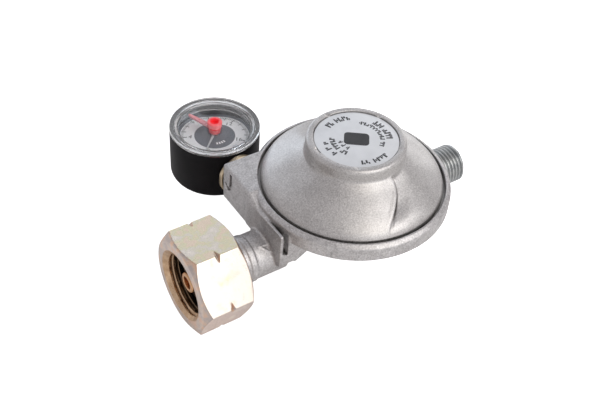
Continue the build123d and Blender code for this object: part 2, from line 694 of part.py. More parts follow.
def tooth(x, y, teeth, direction):
    """One tooth with involute flanks, pointing in a direction from its gear's centre."""
    pitch = MODULE * teeth / 2
    base = pitch * cos(PRESSURE_ANGLE)
    half = (pi * MODULE / 2 - BACKLASH) / (2 * pitch) + tan(PRESSURE_ANGLE) - PRESSURE_ANGLE
    flank = []
    low = max(base, pitch - DEDENDUM)
    for step in range(4):
        radius = low + (pitch + ADDENDUM - low) * step / 3
        roll = ((radius / base) ** 2 - 1) ** 0.5
        # Angle from the tooth's middle to its flank at this radius
        flank.append((radius, half - (roll - atan(roll))))
    root = (pitch - DEDENDUM - 0.1, flank[0][1])
    side = [root] + flank
    points = [(r, direction + a) for r, a in side] + [(r, direction - a) for r, a in reversed(side)]
    return [(x + r * cos(a), y + r * sin(a)) for r, a in points]


PINION_Z = 15.0
PINION_T = 1.8
with BuildPart() as pinion_arbor:
    extrude(disc(GX, GY, 13.65, ARBOR_R), amount=7.95)
    extrude(disc(GX, GY, PINION_Z, PINION_R - DEDENDUM), amount=PINION_T)
    for k in range(PINION_TEETH):
        # A gap between two teeth faces the sector's pivot
        direction = radians(SECTOR_AZ) + 2 * pi * (k + 0.5) / PINION_TEETH
        extrude(outline(Plane.XY.offset(PINION_Z), *tooth(GX, GY, PINION_TEETH, direction)), amount=PINION_T)
finish(pinion_arbor, "pinion_arbor")

SECTOR_Z = 15.5
SECTOR_T = 0.8
SWEEP = 54.0            # the sector's turn over the full scale
TAIL_R = 2.2
TAIL_AZ = SECTOR_AZ - SWEEP / 2
TAIL = (SECTOR_X + TAIL_R * cos(radians(TAIL_AZ)), SECTOR_Y + TAIL_R * sin(radians(TAIL_AZ)))
with BuildPart() as sector_gear:
    mesh_at = SECTOR_AZ - 180
    web = SECTOR_R - DEDENDUM
    arc_from = mesh_at - SWEEP - 8
    arc_to = mesh_at + 8
    with BuildSketch(Plane.XY.offset(SECTOR_Z)):
        with Locations((SECTOR_X, SECTOR_Y)):
            Circle(1.3)
        with BuildLine():
            edge_from = (SECTOR_X + web * cos(radians(arc_from)), SECTOR_Y + web * sin(radians(arc_from)))
            edge_to = (SECTOR_X + web * cos(radians(arc_to)), SECTOR_Y + web * sin(radians(arc_to)))
            CenterArc((SECTOR_X, SECTOR_Y), web, arc_from, arc_to - arc_from)
            Line(edge_to, (SECTOR_X, SECTOR_Y))
            Line((SECTOR_X, SECTOR_Y), edge_from)
        make_face()
        with Locations((SECTOR_X, SECTOR_Y)):
            Circle(ARBOR_R + RUNNING, mode=Mode.SUBTRACT)
    extrude(amount=SECTOR_T)
    with BuildSketch(Plane.XY.offset(SECTOR_Z)):
        with Locations((SECTOR_X, SECTOR_Y), TAIL):
            Circle(0.75)
        make_hull()
        with Locations((SECTOR_X, SECTOR_Y)):
            Circle(ARBOR_R + RUNNING, mode=Mode.SUBTRACT)
    extrude(amount=SECTOR_T)
    extrude(disc(*TAIL, SECTOR_Z + SECTOR_T, LINK_PIN_R), amount=1.0)
    step_deg = 360 / SECTOR_TEETH
    for k in range(-1, int(SWEEP / step_deg) + 2):
        direction = radians(mesh_at - k * step_deg)
        extrude(
            outline(Plane.XY.offset(SECTOR_Z), *tooth(SECTOR_X, SECTOR_Y, SECTOR_TEETH, direction)),
            amount=SECTOR_T,
        )
finish(sector_gear, "sector_gear")

with BuildPart() as sector_pin:
    extrude(disc(SECTOR_X, SECTOR_Y, 13.6, ARBOR_R), amount=5.4)
finish(sector_pin, "sector_pin")

with BuildPart() as tip_link:
    with BuildSketch(Plane.XY.offset(SECTOR_Z + SECTOR_T + 0.05)):
        with Locations(TAIL, TIP_PIN):
            Circle(0.7)
        make_hull()
        with Locations(TAIL, TIP_PIN):
            Circle(LINK_PIN_R + RUNNING, mode=Mode.SUBTRACT)
    extrude(amount=0.5)
finish(tip_link, "tip_link")

# ---------------------------------------------------------------- movement frame
PLATE_LOW = 13.6
PLATE_HIGH = 18.3
FRAME_T = 0.6
PILLARS = [gauge_point(80.0, 4.6), gauge_point(-125.0, 5.6)]
PILLAR_SCREW_R = 0.4


def movement_plate(low):
    """One flat plate of the movement, bored for the arbor, the sector's pin and the pillars' screws."""
    with BuildPart() as plate:
        with BuildSketch(Plane.XY.offset(low)):
            with Locations((GX, GY), (SECTOR_X, SECTOR_Y), *PILLARS):
                Circle(1.7)
            make_hull()
            with Locations((GX, GY)):
                Circle(ARBOR_R + RUNNING, mode=Mode.SUBTRACT)
            with Locations((SECTOR_X, SECTOR_Y)):
                Circle(ARBOR_R, mode=Mode.SUBTRACT)
            with Locations(*PILLARS):
                Circle(PILLAR_SCREW_R + 0.02, mode=Mode.SUBTRACT)
        extrude(amount=FRAME_T)
    return plate


movement_bottom_plate = movement_plate(PLATE_LOW)
finish(movement_bottom_plate, "movement_bottom_plate")
movement_top_plate = movement_plate(PLATE_HIGH)
finish(movement_top_plate, "movement_top_plate")

with BuildPart() as movement_pillars:
    with BuildSketch(Plane.XY.offset(PLATE_LOW + FRAME_T)):
        with Locations(*PILLARS):
            Circle(0.95)
            Circle(PILLAR_SCREW_R + 0.02, mode=Mode.SUBTRACT)
    extrude(amount=PLATE_HIGH - PLATE_LOW - FRAME_T)
finish(movement_pillars, "movement_pillars")

with BuildPart() as movement_screws:
    with BuildSketch(Plane.XY.offset(PLATE_HIGH + FRAME_T)):
        with Locations(*PILLARS):
            Circle(0.8)
    extrude(amount=0.45)
    with BuildSketch(Plane.XY.offset(PLATE_LOW)):
        with Locations(*PILLARS):
            Circle(PILLAR_SCREW_R)
    extrude(amount=PLATE_HIGH + FRAME_T - PLATE_LOW)
finish(movement_screws, "movement_screws")

# Flat spiral spring from the arbor to the frame
HAIR_TURNS = 3.5
HAIR_IN = ARBOR_R
HAIR_OUT = 3.0
HAIR_T = 0.06           # half the strip's thickness
HAIR_STEPS = 84
with BuildPart() as hairspring:
    spiral = []
    for k in range(HAIR_STEPS + 1):
        share = k / HAIR_STEPS
        spiral.append((2 * pi * HAIR_TURNS * share, HAIR_IN + HAIR_T + 0.02 + (HAIR_OUT - HAIR_IN) * share))
    strip = [(r + HAIR_T, a) for a, r in spiral] + [(r - HAIR_T, a) for a, r in reversed(spiral)]
    extrude(
        outline(Plane.XY.offset(17.2), *[(GX + r * cos(a), GY + r * sin(a)) for r, a in strip]),
        amount=0.5,
    )
finish(hairspring, "hairspring")

# ---------------------------------------------------------------- pointer and marker
ZERO_AZ = -138.0
POINTER_Z = 21.1
TIP_R = 9.6
COUNTER_R = 3.4         # length of the pointer's counterweight end
with BuildPart() as gauge_pointer:
    with BuildSketch(Plane.XY.offset(POINTER_Z)):
        with Locations((GX, GY)):
            Circle(1.25)
    extrude(amount=0.6)
    with BuildSketch(Plane.XY.offset(POINTER_Z)):
        with BuildLine():
            Polyline(
                gauge_point(ZERO_AZ + 95, 0.55), gauge_point(ZERO_AZ + 172, COUNTER_R),
                gauge_point(ZERO_AZ - 172, COUNTER_R), gauge_point(ZERO_AZ - 95, 0.55),
                gauge_point(ZERO_AZ, TIP_R), close=True,
            )
        make_face()
    extrude(amount=0.3)
    extrude(disc(GX, GY, POINTER_Z, ARBOR_R), amount=0.6, mode=Mode.SUBTRACT)
finish(gauge_pointer, "gauge_pointer")

MARKER_AZ = 110.8
with BuildPart() as pressure_marker:
    revolve(
        outline(
            GAUGE_PLANE,
            (0, 22.1), (2.0, 22.1), (2.15, 24.2), (HUB_HOLE_R - RUNNING, 24.2), (HUB_HOLE_R - RUNNING, 25.4),
            (2.1, 25.4), (2.1, 26.7), (1.85, 27.0), (1.2, 27.0), (1.1, 25.9), (0, 25.9),
        ),
        axis=GAUGE_AXIS,
    )
    with BuildSketch(Plane.XY.offset(23.2)):
        with BuildLine():
            Polyline(
                gauge_point(MARKER_AZ + 90, 1.1), gauge_point(MARKER_AZ - 90, 1.1),
                gauge_point(MARKER_AZ - 2.2, 10.9), gauge_point(MARKER_AZ, 11.4),
                gauge_point(MARKER_AZ + 2.2, 10.9), close=True,
            )
        make_face()
    extrude(amount=0.8)
finish(pressure_marker, "pressure_marker")
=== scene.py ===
"""Looks of the low-pressure gas regulator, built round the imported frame.

Everything is in metres in the part's own frame: +Z up the cover's axis, +X out of the outlet, -X into the
union nut, +Y towards the gauge.  Shapes are worked out in millimetres and scaled when a mesh is made.
"""

from math import acos, atan2, ceil, cos, hypot, pi, radians, sin, tan, tau

import bmesh
import bpy
import numpy as np
from mathutils import Matrix, Vector

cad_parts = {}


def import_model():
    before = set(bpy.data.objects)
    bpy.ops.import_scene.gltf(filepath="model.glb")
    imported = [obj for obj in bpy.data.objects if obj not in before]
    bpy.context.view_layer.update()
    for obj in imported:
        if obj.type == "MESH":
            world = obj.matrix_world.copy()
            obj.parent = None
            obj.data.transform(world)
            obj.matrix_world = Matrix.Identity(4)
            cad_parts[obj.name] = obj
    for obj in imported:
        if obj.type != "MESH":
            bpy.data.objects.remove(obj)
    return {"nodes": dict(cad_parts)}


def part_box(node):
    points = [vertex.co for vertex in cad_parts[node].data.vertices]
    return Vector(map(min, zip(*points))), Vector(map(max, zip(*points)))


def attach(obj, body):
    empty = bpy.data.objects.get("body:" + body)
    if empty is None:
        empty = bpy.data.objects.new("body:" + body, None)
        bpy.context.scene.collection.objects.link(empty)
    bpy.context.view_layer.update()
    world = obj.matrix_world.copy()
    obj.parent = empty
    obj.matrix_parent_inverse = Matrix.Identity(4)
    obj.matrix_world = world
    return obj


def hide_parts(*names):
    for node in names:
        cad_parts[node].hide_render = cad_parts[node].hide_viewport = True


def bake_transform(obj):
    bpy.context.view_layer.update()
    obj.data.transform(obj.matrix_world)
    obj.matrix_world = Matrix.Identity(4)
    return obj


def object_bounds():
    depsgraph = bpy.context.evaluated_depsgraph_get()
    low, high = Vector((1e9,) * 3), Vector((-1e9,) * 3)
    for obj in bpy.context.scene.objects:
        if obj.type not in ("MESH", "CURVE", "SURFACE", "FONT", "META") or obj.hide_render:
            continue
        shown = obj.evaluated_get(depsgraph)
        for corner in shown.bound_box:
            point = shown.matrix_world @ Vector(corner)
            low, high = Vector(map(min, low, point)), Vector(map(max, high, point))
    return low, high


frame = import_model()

MM = 0.001
cad_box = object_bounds()
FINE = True


def mm_box(node):
    """A CAD node's lowest and highest corners, in millimetres."""
    low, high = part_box(node)
    return np.array(low) / MM, np.array(high) / MM


# ---- sizes from the frame (mm)
cast_low, cast_high = mm_box("body_casting")
cover_low = mm_box("cover")[0]
nut_low, nut_high = mm_box("union_nut")
nozzle_low, nozzle_high = mm_box("inlet_nipple")
out_low, out_high = mm_box("outlet_nipple")
case_low, case_high = mm_box("gauge_case")
lens_low, lens_high = mm_box("gauge_lens")
dial_low, dial_high = mm_box("gauge_dial")
label_low, label_high = mm_box("label_plate")
socket_low, socket_high = mm_box("gauge_socket")

INLET_Z = (nozzle_low[2] + nozzle_high[2]) / 2
OUTLET_Z = (out_low[2] + out_high[2]) / 2
OUTLET_R = (out_high[2] - out_low[2]) / 2
GX, GY = (case_low[:2] + case_high[:2]) / 2
GAUGE_AXIS = (GX, GY, 0)
CASE_R = (case_high[0] - case_low[0]) / 2
NUT_FRONT, NUT_BACK = nut_low[0], nut_high[0]
STEM_Z = (socket_low[2] + socket_high[2]) / 2
HEX_FLAT = (socket_high[0] - socket_low[0]) / 2
NUT_FLAT, NUT_CORNER, NUT_FACE_R = 15.0, 17.32, 14.25
VALVE_Z, LEVER_PIN_X = 10.2, -13.7
PRINT_GAP, PRINT_THICK = 0.002, 0.012  # under and in a printed mark
CAMERA_TURN = 36.25  # degrees from +Y towards +X; the print on the dial faces this way


# ---- mesh helpers
pieces = {}


def add_object(name, data):
    """A new object in the scene."""
    obj = bpy.data.objects.new(name, data)
    bpy.context.scene.collection.objects.link(obj)
    return obj


def new_mesh(name, verts, faces, body="housing", smooth_angle=35.0):
    """A shaded mesh object from points in millimetres, riding on a body unless it is None."""
    mesh = bpy.data.meshes.new(name)
    mesh.from_pydata([tuple(v) for v in np.asarray(verts) * MM], [], faces)
    mesh.validate()
    mesh.polygons.foreach_set("use_smooth", [True] * len(mesh.polygons))
    if smooth_angle:
        mesh.set_sharp_from_angle(angle=radians(smooth_angle))
    obj = add_object(name, mesh)
    if body:
        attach(obj, body)
    pieces[name] = obj
    return obj


def grid_faces(rows, columns, wrap_rows=False):
    """Quads of a grid whose points are numbered row by row, and whose columns close on themselves."""
    r = np.arange(rows if wrap_rows else rows - 1)[:, None]
    c = np.arange(columns)[None, :]
    r2, c2 = (r + 1) % rows, (c + 1) % columns
    quads = np.stack([r * columns + c, r * columns + c2, r2 * columns + c2, r2 * columns + c], -1)
    return quads.reshape(-1, 4)


def lathe(name, profile, body="housing", axis="z", centre=(0, 0, 0), segments=192, shift=None, smooth_angle=35.0):
    """A closed solid of revolution.  profile holds (radius, height) points of a closed ring section, or of a
    section that starts and ends on the axis.  shift(radius, height, angle) may return moved radius and height."""
    profile = np.array(profile, float)
    on_axis = profile[0, 0] < 1e-9 and profile[-1, 0] < 1e-9
    inner = profile[1:-1] if on_axis else profile
    angles = np.arange(segments) * tau / segments
    radius = np.repeat(inner[:, 0:1], segments, 1)
    height = np.repeat(inner[:, 1:2], segments, 1)
    if shift:
        radius, height = shift(radius, height, np.broadcast_to(angles, radius.shape))
    points = np.stack([radius * np.cos(angles), radius * np.sin(angles), height], -1).reshape(-1, 3)
    faces = grid_faces(len(inner), segments, wrap_rows=not on_axis).tolist()
    if on_axis:
        first, last = len(points), len(points) + 1
        points = np.vstack([points, [(0, 0, profile[0, 1]), (0, 0, profile[-1, 1])]])
        top = (len(inner) - 1) * segments
        for k in range(segments):
            faces.append((first, (k + 1) % segments, k))
            faces.append((last, top + k, top + (k + 1) % segments))
    if axis == "x":
        points = points[:, [2, 0, 1]]
    obj = new_mesh(name, points + np.array(centre, float), faces, body, smooth_angle)
    outward(obj)
    return obj


def outward(obj):
    """Turn all faces outward."""
    work = bmesh.new()
    work.from_mesh(obj.data)
    bmesh.ops.recalc_face_normals(work, faces=work.faces)
    work.to_mesh(obj.data)
    work.free()


def rounded(points, radii, steps=5):
    """A profile with its corners rounded.  points is a polyline, radii one radius for each of its points."""
    points = [np.array(p, float) for p in points]
    count = len(points)
    result = []
    for k, (point, radius) in enumerate(zip(points, radii)):
        if radius <= 0:
            result.append(point)
            continue
        before, after = points[(k - 1) % count] - point, points[(k + 1) % count] - point
        u, v = before / np.linalg.norm(before), after / np.linalg.norm(after)
        half = acos(max(-1, min(1, float(u @ v)))) / 2
        reach = radius / tan(half)
        start, end = point + u * reach, point + v * reach
        middle = point + (u + v) / np.linalg.norm(u + v) * radius / sin(half)
        a, b = start - middle, end - middle
        turn = atan2(a[0] * b[1] - a[1] * b[0], a @ b)
        for s in range(steps + 1):
            t = turn * s / steps
            c, n = cos(t), sin(t)
            result.append(middle + np.array([a[0] * c - a[1] * n, a[0] * n + a[1] * c]))
    return result


def dense(points, step):
    """The same polyline with extra points, so that no stretch is longer than step."""
    result = []
    for a, b in zip(points[:-1], points[1:]):
        a, b = np.array(a, float), np.array(b, float)
        pieces = max(1, int(ceil(np.linalg.norm(b - a) / step)))
        result += [a + (b - a) * k / pieces for k in range(pieces)]
    return result + [np.array(points[-1], float)]


def apart(angle, turn):
    """How far an angle is past a turn, between half a turn back and half a turn ahead."""
    return (angle - turn + pi) % tau - pi


def smooth_step(value, low, high):
    """0 below low, 1 above high, and a smooth rise between them."""
    t = np.clip((value - low) / (high - low), 0, 1)
    return t * t * (3 - 2 * t)


# ---- solids from distance fields
def polygon_distance(px, py, corners):
    """Signed distance from points to a polygon, negative inside."""
    corners = np.array(corners, float)
    best = np.full(np.broadcast(px, py).shape, 1e18)
    inside = np.zeros(best.shape, bool)
    for a, b in zip(corners, np.roll(corners, -1, 0)):
        ex, ey = b - a
        wx, wy = px - a[0], py - a[1]
        t = np.clip((wx * ex + wy * ey) / (ex * ex + ey * ey), 0, 1)
        best = np.minimum(best, (wx - ex * t) ** 2 + (wy - ey * t) ** 2)
        crosses = (a[1] > py) != (b[1] > py)
        if abs(ey) > 1e-12:
            inside ^= crosses & (wx < ex * wy / ey)
    return np.where(inside, -1, 1) * np.sqrt(best)


def both(a, b, radius):
    """Intersection of two distance fields, with its outer edge rounded."""
    a, b = a + radius, b + radius
    return np.minimum(np.maximum(a, b), 0) + np.hypot(np.maximum(a, 0), np.maximum(b, 0)) - radius


def hexagon_distance(u, v, turns, flat):
    """Distance to a hexagonal bar: turns holds the directions of its flats, flat is their distance."""
    best = np.full(np.broadcast(u, v).shape, -1e9)
    for turn in turns:
        best = np.maximum(best, u * cos(turn) + v * sin(turn) - flat)
    return best


def drilled(solid, *bores):
    """A solid with bores taken out of it."""
    for bore in bores:
        solid = np.maximum(solid, -bore)
    return solid


def joined(a, b, fillet):
    """Union of two distance fields, with a fillet where they meet."""
    h = np.maximum(fillet - np.abs(a - b), 0) / fillet
    return np.minimum(a, b) - h * h * fillet / 4


def net_mesh(name, field, origin, step, smooth_angle, body="housing"):
    """A closed mesh where the field is zero: one point in each cell that the surface crosses."""
    inside = field < 0
    shape = np.array(field.shape) - 1
    corners = [(i, j, k) for i in (0, 1) for j in (0, 1) for k in (0, 1)]
    count = np.zeros(shape, np.int8)
    for i, j, k in corners:
        count += inside[i:i + shape[0], j:j + shape[1], k:k + shape[2]]
    cells = np.argwhere((count > 0) & (count < 8))
    number = np.full(shape, -1, np.int64)
    number[tuple(cells.T)] = np.arange(len(cells))
    total = np.zeros((len(cells), 3))
    hits = np.zeros(len(cells))
    for c0 in corners:
        for axis in range(3):
            if c0[axis]:
                continue
            c1 = list(c0)
            c1[axis] = 1
            f0 = field[tuple((cells + np.array(c0)).T)]
            f1 = field[tuple((cells + np.array(c1)).T)]
            crossed = (f0 < 0) != (f1 < 0)
            t = np.where(crossed, f0 / np.where(crossed, f0 - f1, 1), 0)
            point = np.array(c0, float) + t[:, None] * (np.array(c1) - np.array(c0))
            total += point * crossed[:, None]
            hits += crossed
    verts = np.array(origin) + (cells + total / hits[:, None]) * step
    quads = []
    for axis in range(3):
        u, v = [a for a in range(3) if a != axis]
        if axis == 1:
            u, v = v, u
        lower = [slice(1, n) for n in shape]
        lower[axis] = slice(0, shape[axis])
        upper = list(lower)
        upper[axis] = slice(1, shape[axis] + 1)
        f0, f1 = inside[tuple(lower)], inside[tuple(upper)]
        for sign in (True, False):
            edges = np.argwhere((f0 == sign) & (f1 != sign))
            edges[:, u] += 1
            edges[:, v] += 1
            ring = []
            for du, dv in ((-1, -1), (0, -1), (0, 0), (-1, 0)):
                cell = edges.copy()
                cell[:, u] += du
                cell[:, v] += dv
                ring.append(number[tuple(cell.T)])
            quads.append(np.stack(ring if sign else ring[::-1], -1))
    return new_mesh(name, verts, np.concatenate(quads).tolist(), body, smooth_angle)


def grid_axes(low, high, step, margin=1.0):
    """Open grid coordinates that reach past a box."""
    axes = [np.arange(a - margin, b + margin + step, step) for a, b in zip(low, high)]
    origin = [a[0] for a in axes]
    return origin, np.meshgrid(*axes, indexing="ij", sparse=True)


# ---- the casting
def turned(radius, heights, section):
    """Distance to a solid turned about the vertical axis, from a table over radius and height."""
    fine = 0.1
    steps = np.arange(0, radius.max() + 3 * fine, fine)
    table = polygon_distance(steps[:, None], heights[None, :], section).astype(np.float32)
    place = radius[:, :, 0] / fine
    low = place.astype(int)
    share = (place - low)[:, :, None].astype(np.float32)
    return table[low] * (1 - share) + table[low + 1] * share


def slab(value, low, high):
    """Distance to the space between two parallel planes."""
    return np.maximum(low - value, value - high)


def within(field, value, low, high):
    """The part of a solid between two parallel planes."""
    return np.maximum(field, slab(value, low, high))


def stroke(u, v, points, width):
    """Distance to a line of round section drawn through points on a plane."""
    best = np.full(np.broadcast(u, v).shape, 1e9)
    for (au, av), (bu, bv) in zip(points[:-1], points[1:]):
        eu, ev = bu - au, bv - av
        t = np.clip(((u - au) * eu + (v - av) * ev) / (eu * eu + ev * ev), 0, 1)
        best = np.minimum(best, np.hypot(u - au - t * eu, v - av - t * ev))
    return best - width / 2


RIM_R, RIM_TOP, RIM_BOTTOM = 31.75, 25.1, 19.0
ARM_LEFT, ARM_RIGHT, ARM_END, ARM_FOOT = -32.87, -18.5, 24.95, 11.1
BLOCK_SIDE, BLOCK_RIGHT, BLOCK_TOP, WEB_END = 10.17, -27.4, 22.3, -19.5
TUBE_R, TUBE_END = 7.47, -49.0


def casting():
    """Bowl, crimped rim, manifold arm, inlet block and tube, in one die-cast piece."""
    step = 0.25 if FINE else 0.6
    origin, (x, y, z) = grid_axes(cast_low, cast_high, step)
    radius = np.hypot(x, y)
    heights = z[0, 0]
    bowl = turned(radius, heights, [
        (-1, 0), (10, 0), (10.6, 0.6), (28.4, 18.4), (28.4, RIM_BOTTOM), (31.25, RIM_BOTTOM), (RIM_R, 19.5),
        (RIM_R, 23.8), (31.6, 24.2), (30.5, 25.05), (30.3, RIM_TOP), (-1, RIM_TOP),
    ])
    cavity = turned(radius, heights, [
        (-1, 2.4), (9.4, 2.6), (25.4, 18.4), (26.0, 19.4), (26.0, 21.2), (30.6, 21.2), (30.6, 24.15),
        (29.95, 24.15), (29.95, 24.8), (30.1, 26.5), (-1, 26.5),
    ])
    inlet = np.hypot(y, z - INLET_Z)
    valve = np.hypot(y, z - VALVE_Z)
    outlet = np.hypot(y, z - OUTLET_Z)
    stem = np.hypot(x - GX, z - STEM_Z)

    edge = 0.8
    arm = polygon_distance(y, z, [
        (-1, ARM_FOOT + edge), (ARM_END - edge, ARM_FOOT + edge), (ARM_END - edge, RIM_TOP - edge),
        (9.4, RIM_TOP - edge), (3.4, BLOCK_TOP - edge), (-1, BLOCK_TOP - edge),
    ]) - edge
    arm = both(arm, slab(x, ARM_LEFT, ARM_RIGHT), 0.9)
    mould_mark = [(19.9, 23.6), (20.1, 19.6), (20.7, 17.6), (21.8, 16.9), (22.9, 18.0)]
    groove = stroke(y, z, mould_mark, 1.15)
    arm = np.maximum(arm, -np.maximum(groove, x - ARM_LEFT - 1.1))
    block = polygon_distance(y, z, [
        (-BLOCK_SIDE + 0.5, 10.0), (-BLOCK_SIDE + 1.4, 9.0), (4.0, 9.0), (6.2, ARM_FOOT + 0.5),
        (BLOCK_SIDE - 0.5, ARM_FOOT + 0.5), (BLOCK_SIDE - 0.5, BLOCK_TOP - 0.5),
        (-BLOCK_SIDE + 0.5, BLOCK_TOP - 0.5),
    ]) - 0.5
    block = both(block, slab(x, ARM_LEFT, BLOCK_RIGHT), 0.25)
    block = joined(block, arm, 0.4)
    slot = np.maximum(slab(x, -31.8, -29.9), np.maximum(y + BLOCK_SIDE - 2.6, 13.3 - z - (x + 29.9) * 0.63))
    gap_floor = 19.6 + 3.2 * smooth_step(y, -8.0, 3.4)
    top_gap = np.maximum(slab(x, -31.9, -30.3), np.maximum(y - 4.2, gap_floor - z))
    block = np.maximum(block, -np.minimum(slot, top_gap))

    web = polygon_distance(x, z, [
        (BLOCK_RIGHT - 0.5, 9.5), (BLOCK_RIGHT + 0.6, 9.0), (WEB_END, 13.4), (WEB_END, RIM_BOTTOM + 0.5),
        (BLOCK_RIGHT - 0.5, RIM_BOTTOM + 0.5),
    ])
    block = np.minimum(block, both(web, slab(y, -BLOCK_SIDE, BLOCK_SIDE), 0.25))

    tube = both(inlet - TUBE_R, slab(x, TUBE_END, BLOCK_RIGHT), 0.4)
    ring = both(inlet - TUBE_R - 0.3, slab(x, -40.6, -38.5), 0.25)
    along, across = x + 34.3, np.arctan2(y, z - INLET_Z) * TUBE_R + 5.2
    arrow = stroke(along, across, [(-1.7, 1.9), (0.9, 1.6), (1.7, -2.1), (-1.7, 1.9)], 0.45)
    arrow = within(arrow, inlet, TUBE_R - 0.5, TUBE_R + 0.22)
    tube = joined(np.minimum(tube, arrow), ring, 0.3)

    fillet = 0.02 + 1.6 * (1 - smooth_step(z, 20.0, 23.5))
    solid = joined(bowl, block, fillet)
    solid = joined(solid, tube, 1.1)
    solid = joined(solid, both(valve - 4.6, slab(x, -28.0, -16.0), 0.5), 1.0)
    solid = joined(solid, both(outlet - 6.9, slab(x, 14.0, 28.0), 0.5), 1.2)
    solid = np.maximum(solid, -cavity)

    # Valve cage inside the bowl, with the bores for the valve, the lever and its pin
    cage = np.maximum(slab(y, -4.4, 4.4), np.maximum(slab(x, -16.0, -7.6), slab(z, 1.8, 14.2)))
    cage = np.minimum(cage, both(valve - 4.6, slab(x, -21.0, -15.2), 0.3))
    solid = drilled(
        np.minimum(solid, cage),
        within(valve - 2.66, x, -15.2, -7.0),
        np.maximum(slab(y, -1.5, 1.5), np.maximum(slab(x, -13.6, -7.0), slab(z, 2.4, VALVE_Z))),
        np.hypot(x - LEVER_PIN_X, z - VALVE_Z) - 1.2 + np.maximum(np.abs(y) - 6, 0),
        within(inlet - 5.0, x, -60, -38.9),
        within(inlet - 3.2, x, -39.0, -26.0),
        within(valve - 2.2, x, -28.0, -21.4),
        within(valve - 3.22, x, -21.5, -15.0),
        within(stem - 4.88, y, 20.0, 30),
        within(stem - 1.3, y, -1, 20.2),
        within(np.hypot(x - GX, y) - 1.2, z, VALVE_Z, STEM_Z),
        within(outlet - 5.22, x, 10, 29),
        within(outlet - OUTLET_R - 0.22, x, 28.0, 29),
    )
    obj = net_mesh("casting", solid, origin, step, 55)
    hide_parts("body_casting")


# ---- the cover
def curve_through(points, pieces=12):
    """A smooth line through points (Catmull-Rom)."""
    points = [np.array(p, float) for p in points]
    padded = [2 * points[0] - points[1]] + points + [2 * points[-1] - points[-2]]
    line = []
    for a, b, c, d in zip(padded, padded[1:], padded[2:], padded[3:]):
        for t in np.arange(pieces) / pieces:
            line.append(0.5 * (2 * b + (c - a) * t + (2 * a - 5 * b + 4 * c - d) * t * t
                               + (3 * b - a - 3 * c + d) * t ** 3))
    return line + [points[-1]]


CREASE_RADII = (15.9, 17.0, 18.8, 20.6, 22.6, 24.5, 26.6, 28.0)
CREASE_TURNS = (-81.7, -80.9, -83.0, -86.7, -91.3, -95.6, -100.1, -102.6)
FLUTE_TURN, TAB_TURN = 172, 176
STAKE_TURNS = (96, 23.3, -51.3, -123.2)  # where the tower's edge is pressed over the label plate
STAKE_R, PIT_R, PIT_TURN = 13.7, 24.6, -112


def dent(radius, angle):
    """How deep the dome is sunk at a place: a sharp step along the crease, fading into a soft flute."""
    depth = np.zeros(np.broadcast(radius, angle).shape)
    for half_turn in (0, pi):
        crease = np.radians(np.interp(radius, CREASE_RADII, CREASE_TURNS)) + half_turn
        away = apart(angle, crease)
        arc = away * radius
        fade = 1 - smooth_step(radius, 21.5, 29.2)
        step = smooth_step(arc, -0.1, 1.1) * (1 - 0.55 * smooth_step(arc, 1.2, 9.0))
        depth += 1.6 * fade * step * (1 - smooth_step(away, 1.2, 2.2)) * (away > -0.3)
        depth += 1.2 * fade * np.exp(-((arc - 0.65) / 0.42) ** 2)
        depth -= 0.15 * fade * np.exp(-((arc + 0.8) / 0.9) ** 2)
        flute = apart(angle, radians(FLUTE_TURN) + half_turn)
        depth += 0.5 * fade * np.exp(-(flute / 0.42) ** 2)
    return depth


def cover():
    """The dome and its tower, crimped into the rim."""
    low = cover_low[2]
    outer = [(30.45, low), (30.45, low + 1.95), (29.95, low + 1.95), (29.95, low + 0.9), (29.0, low + 0.9),
             (29.0, low + 2.5)]
    dome = curve_through([(29.0, 25.0), (28.15, 26.7), (26.2, 28.7), (22.0, 31.65), (18.4, 34.0), (16.6, 35.4)])
    foot = curve_through([(16.6, 35.4), (15.95, 36.0), (15.72, 36.6)], 4)[1:]
    tower = rounded([(15.72, 36.6), (15.7, 40.7), (13.45, 40.7), (13.45, 39.66)], [0, 1.15, 0.25, 0])
    inside = [(12.0, 39.66), (12.0, 33.6), (14.6, 33.2), (20.2, 29.6), (24.6, 26.6), (27.2, 23.9), (27.2, low)]
    profile = outer + dense(dome, 0.35) + foot + dense(tower, 0.5)[1:] + inside
    first, last = len(outer), len(outer) + len(dense(dome, 0.35)) + len(foot)
    heights = np.array([p[1] for p in profile])
    weight = np.zeros(len(profile))
    weight[first:last] = smooth_step(heights[first:last], 25.2, 26.4)
    weight[first:last] *= 1 - smooth_step(heights[first:last], 35.3, 36.4)
    on_top = (heights > 40.2)[:, None]

    def shift(radius, height, angle):
        sunk = dent(radius, angle) * weight[:, None]
        spot = np.hypot((angle - radians(PIT_TURN)) * PIT_R, radius - PIT_R)
        sunk = sunk + 0.25 * np.exp(-(spot / 0.45) ** 2) * weight[:, None]
        radius, height = radius - 0.55 * sunk, height - 0.83 * sunk
        for turn in STAKE_TURNS:
            away = apart(angle, radians(turn))
            mark = np.exp(-(away * STAKE_R / 0.75) ** 2) * np.exp(-((radius - STAKE_R) / 0.75) ** 2) * on_top
            height = height - 0.55 * mark
            radius = radius - 0.22 * mark
        away = apart(angle, radians(TAB_TURN))
        tab = (1 - smooth_step(np.abs(away * 14), 1.1, 1.5)) * (1 - smooth_step(radius, 14.3, 14.6)) * on_top
        return radius, height - 0.38 * tab

    segments = 720 if FINE else 240
    obj = lathe("cover_shell", profile, segments=segments, shift=shift, smooth_angle=48)
    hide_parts("cover")


# ---- the diaphragm
SECTORS = 8


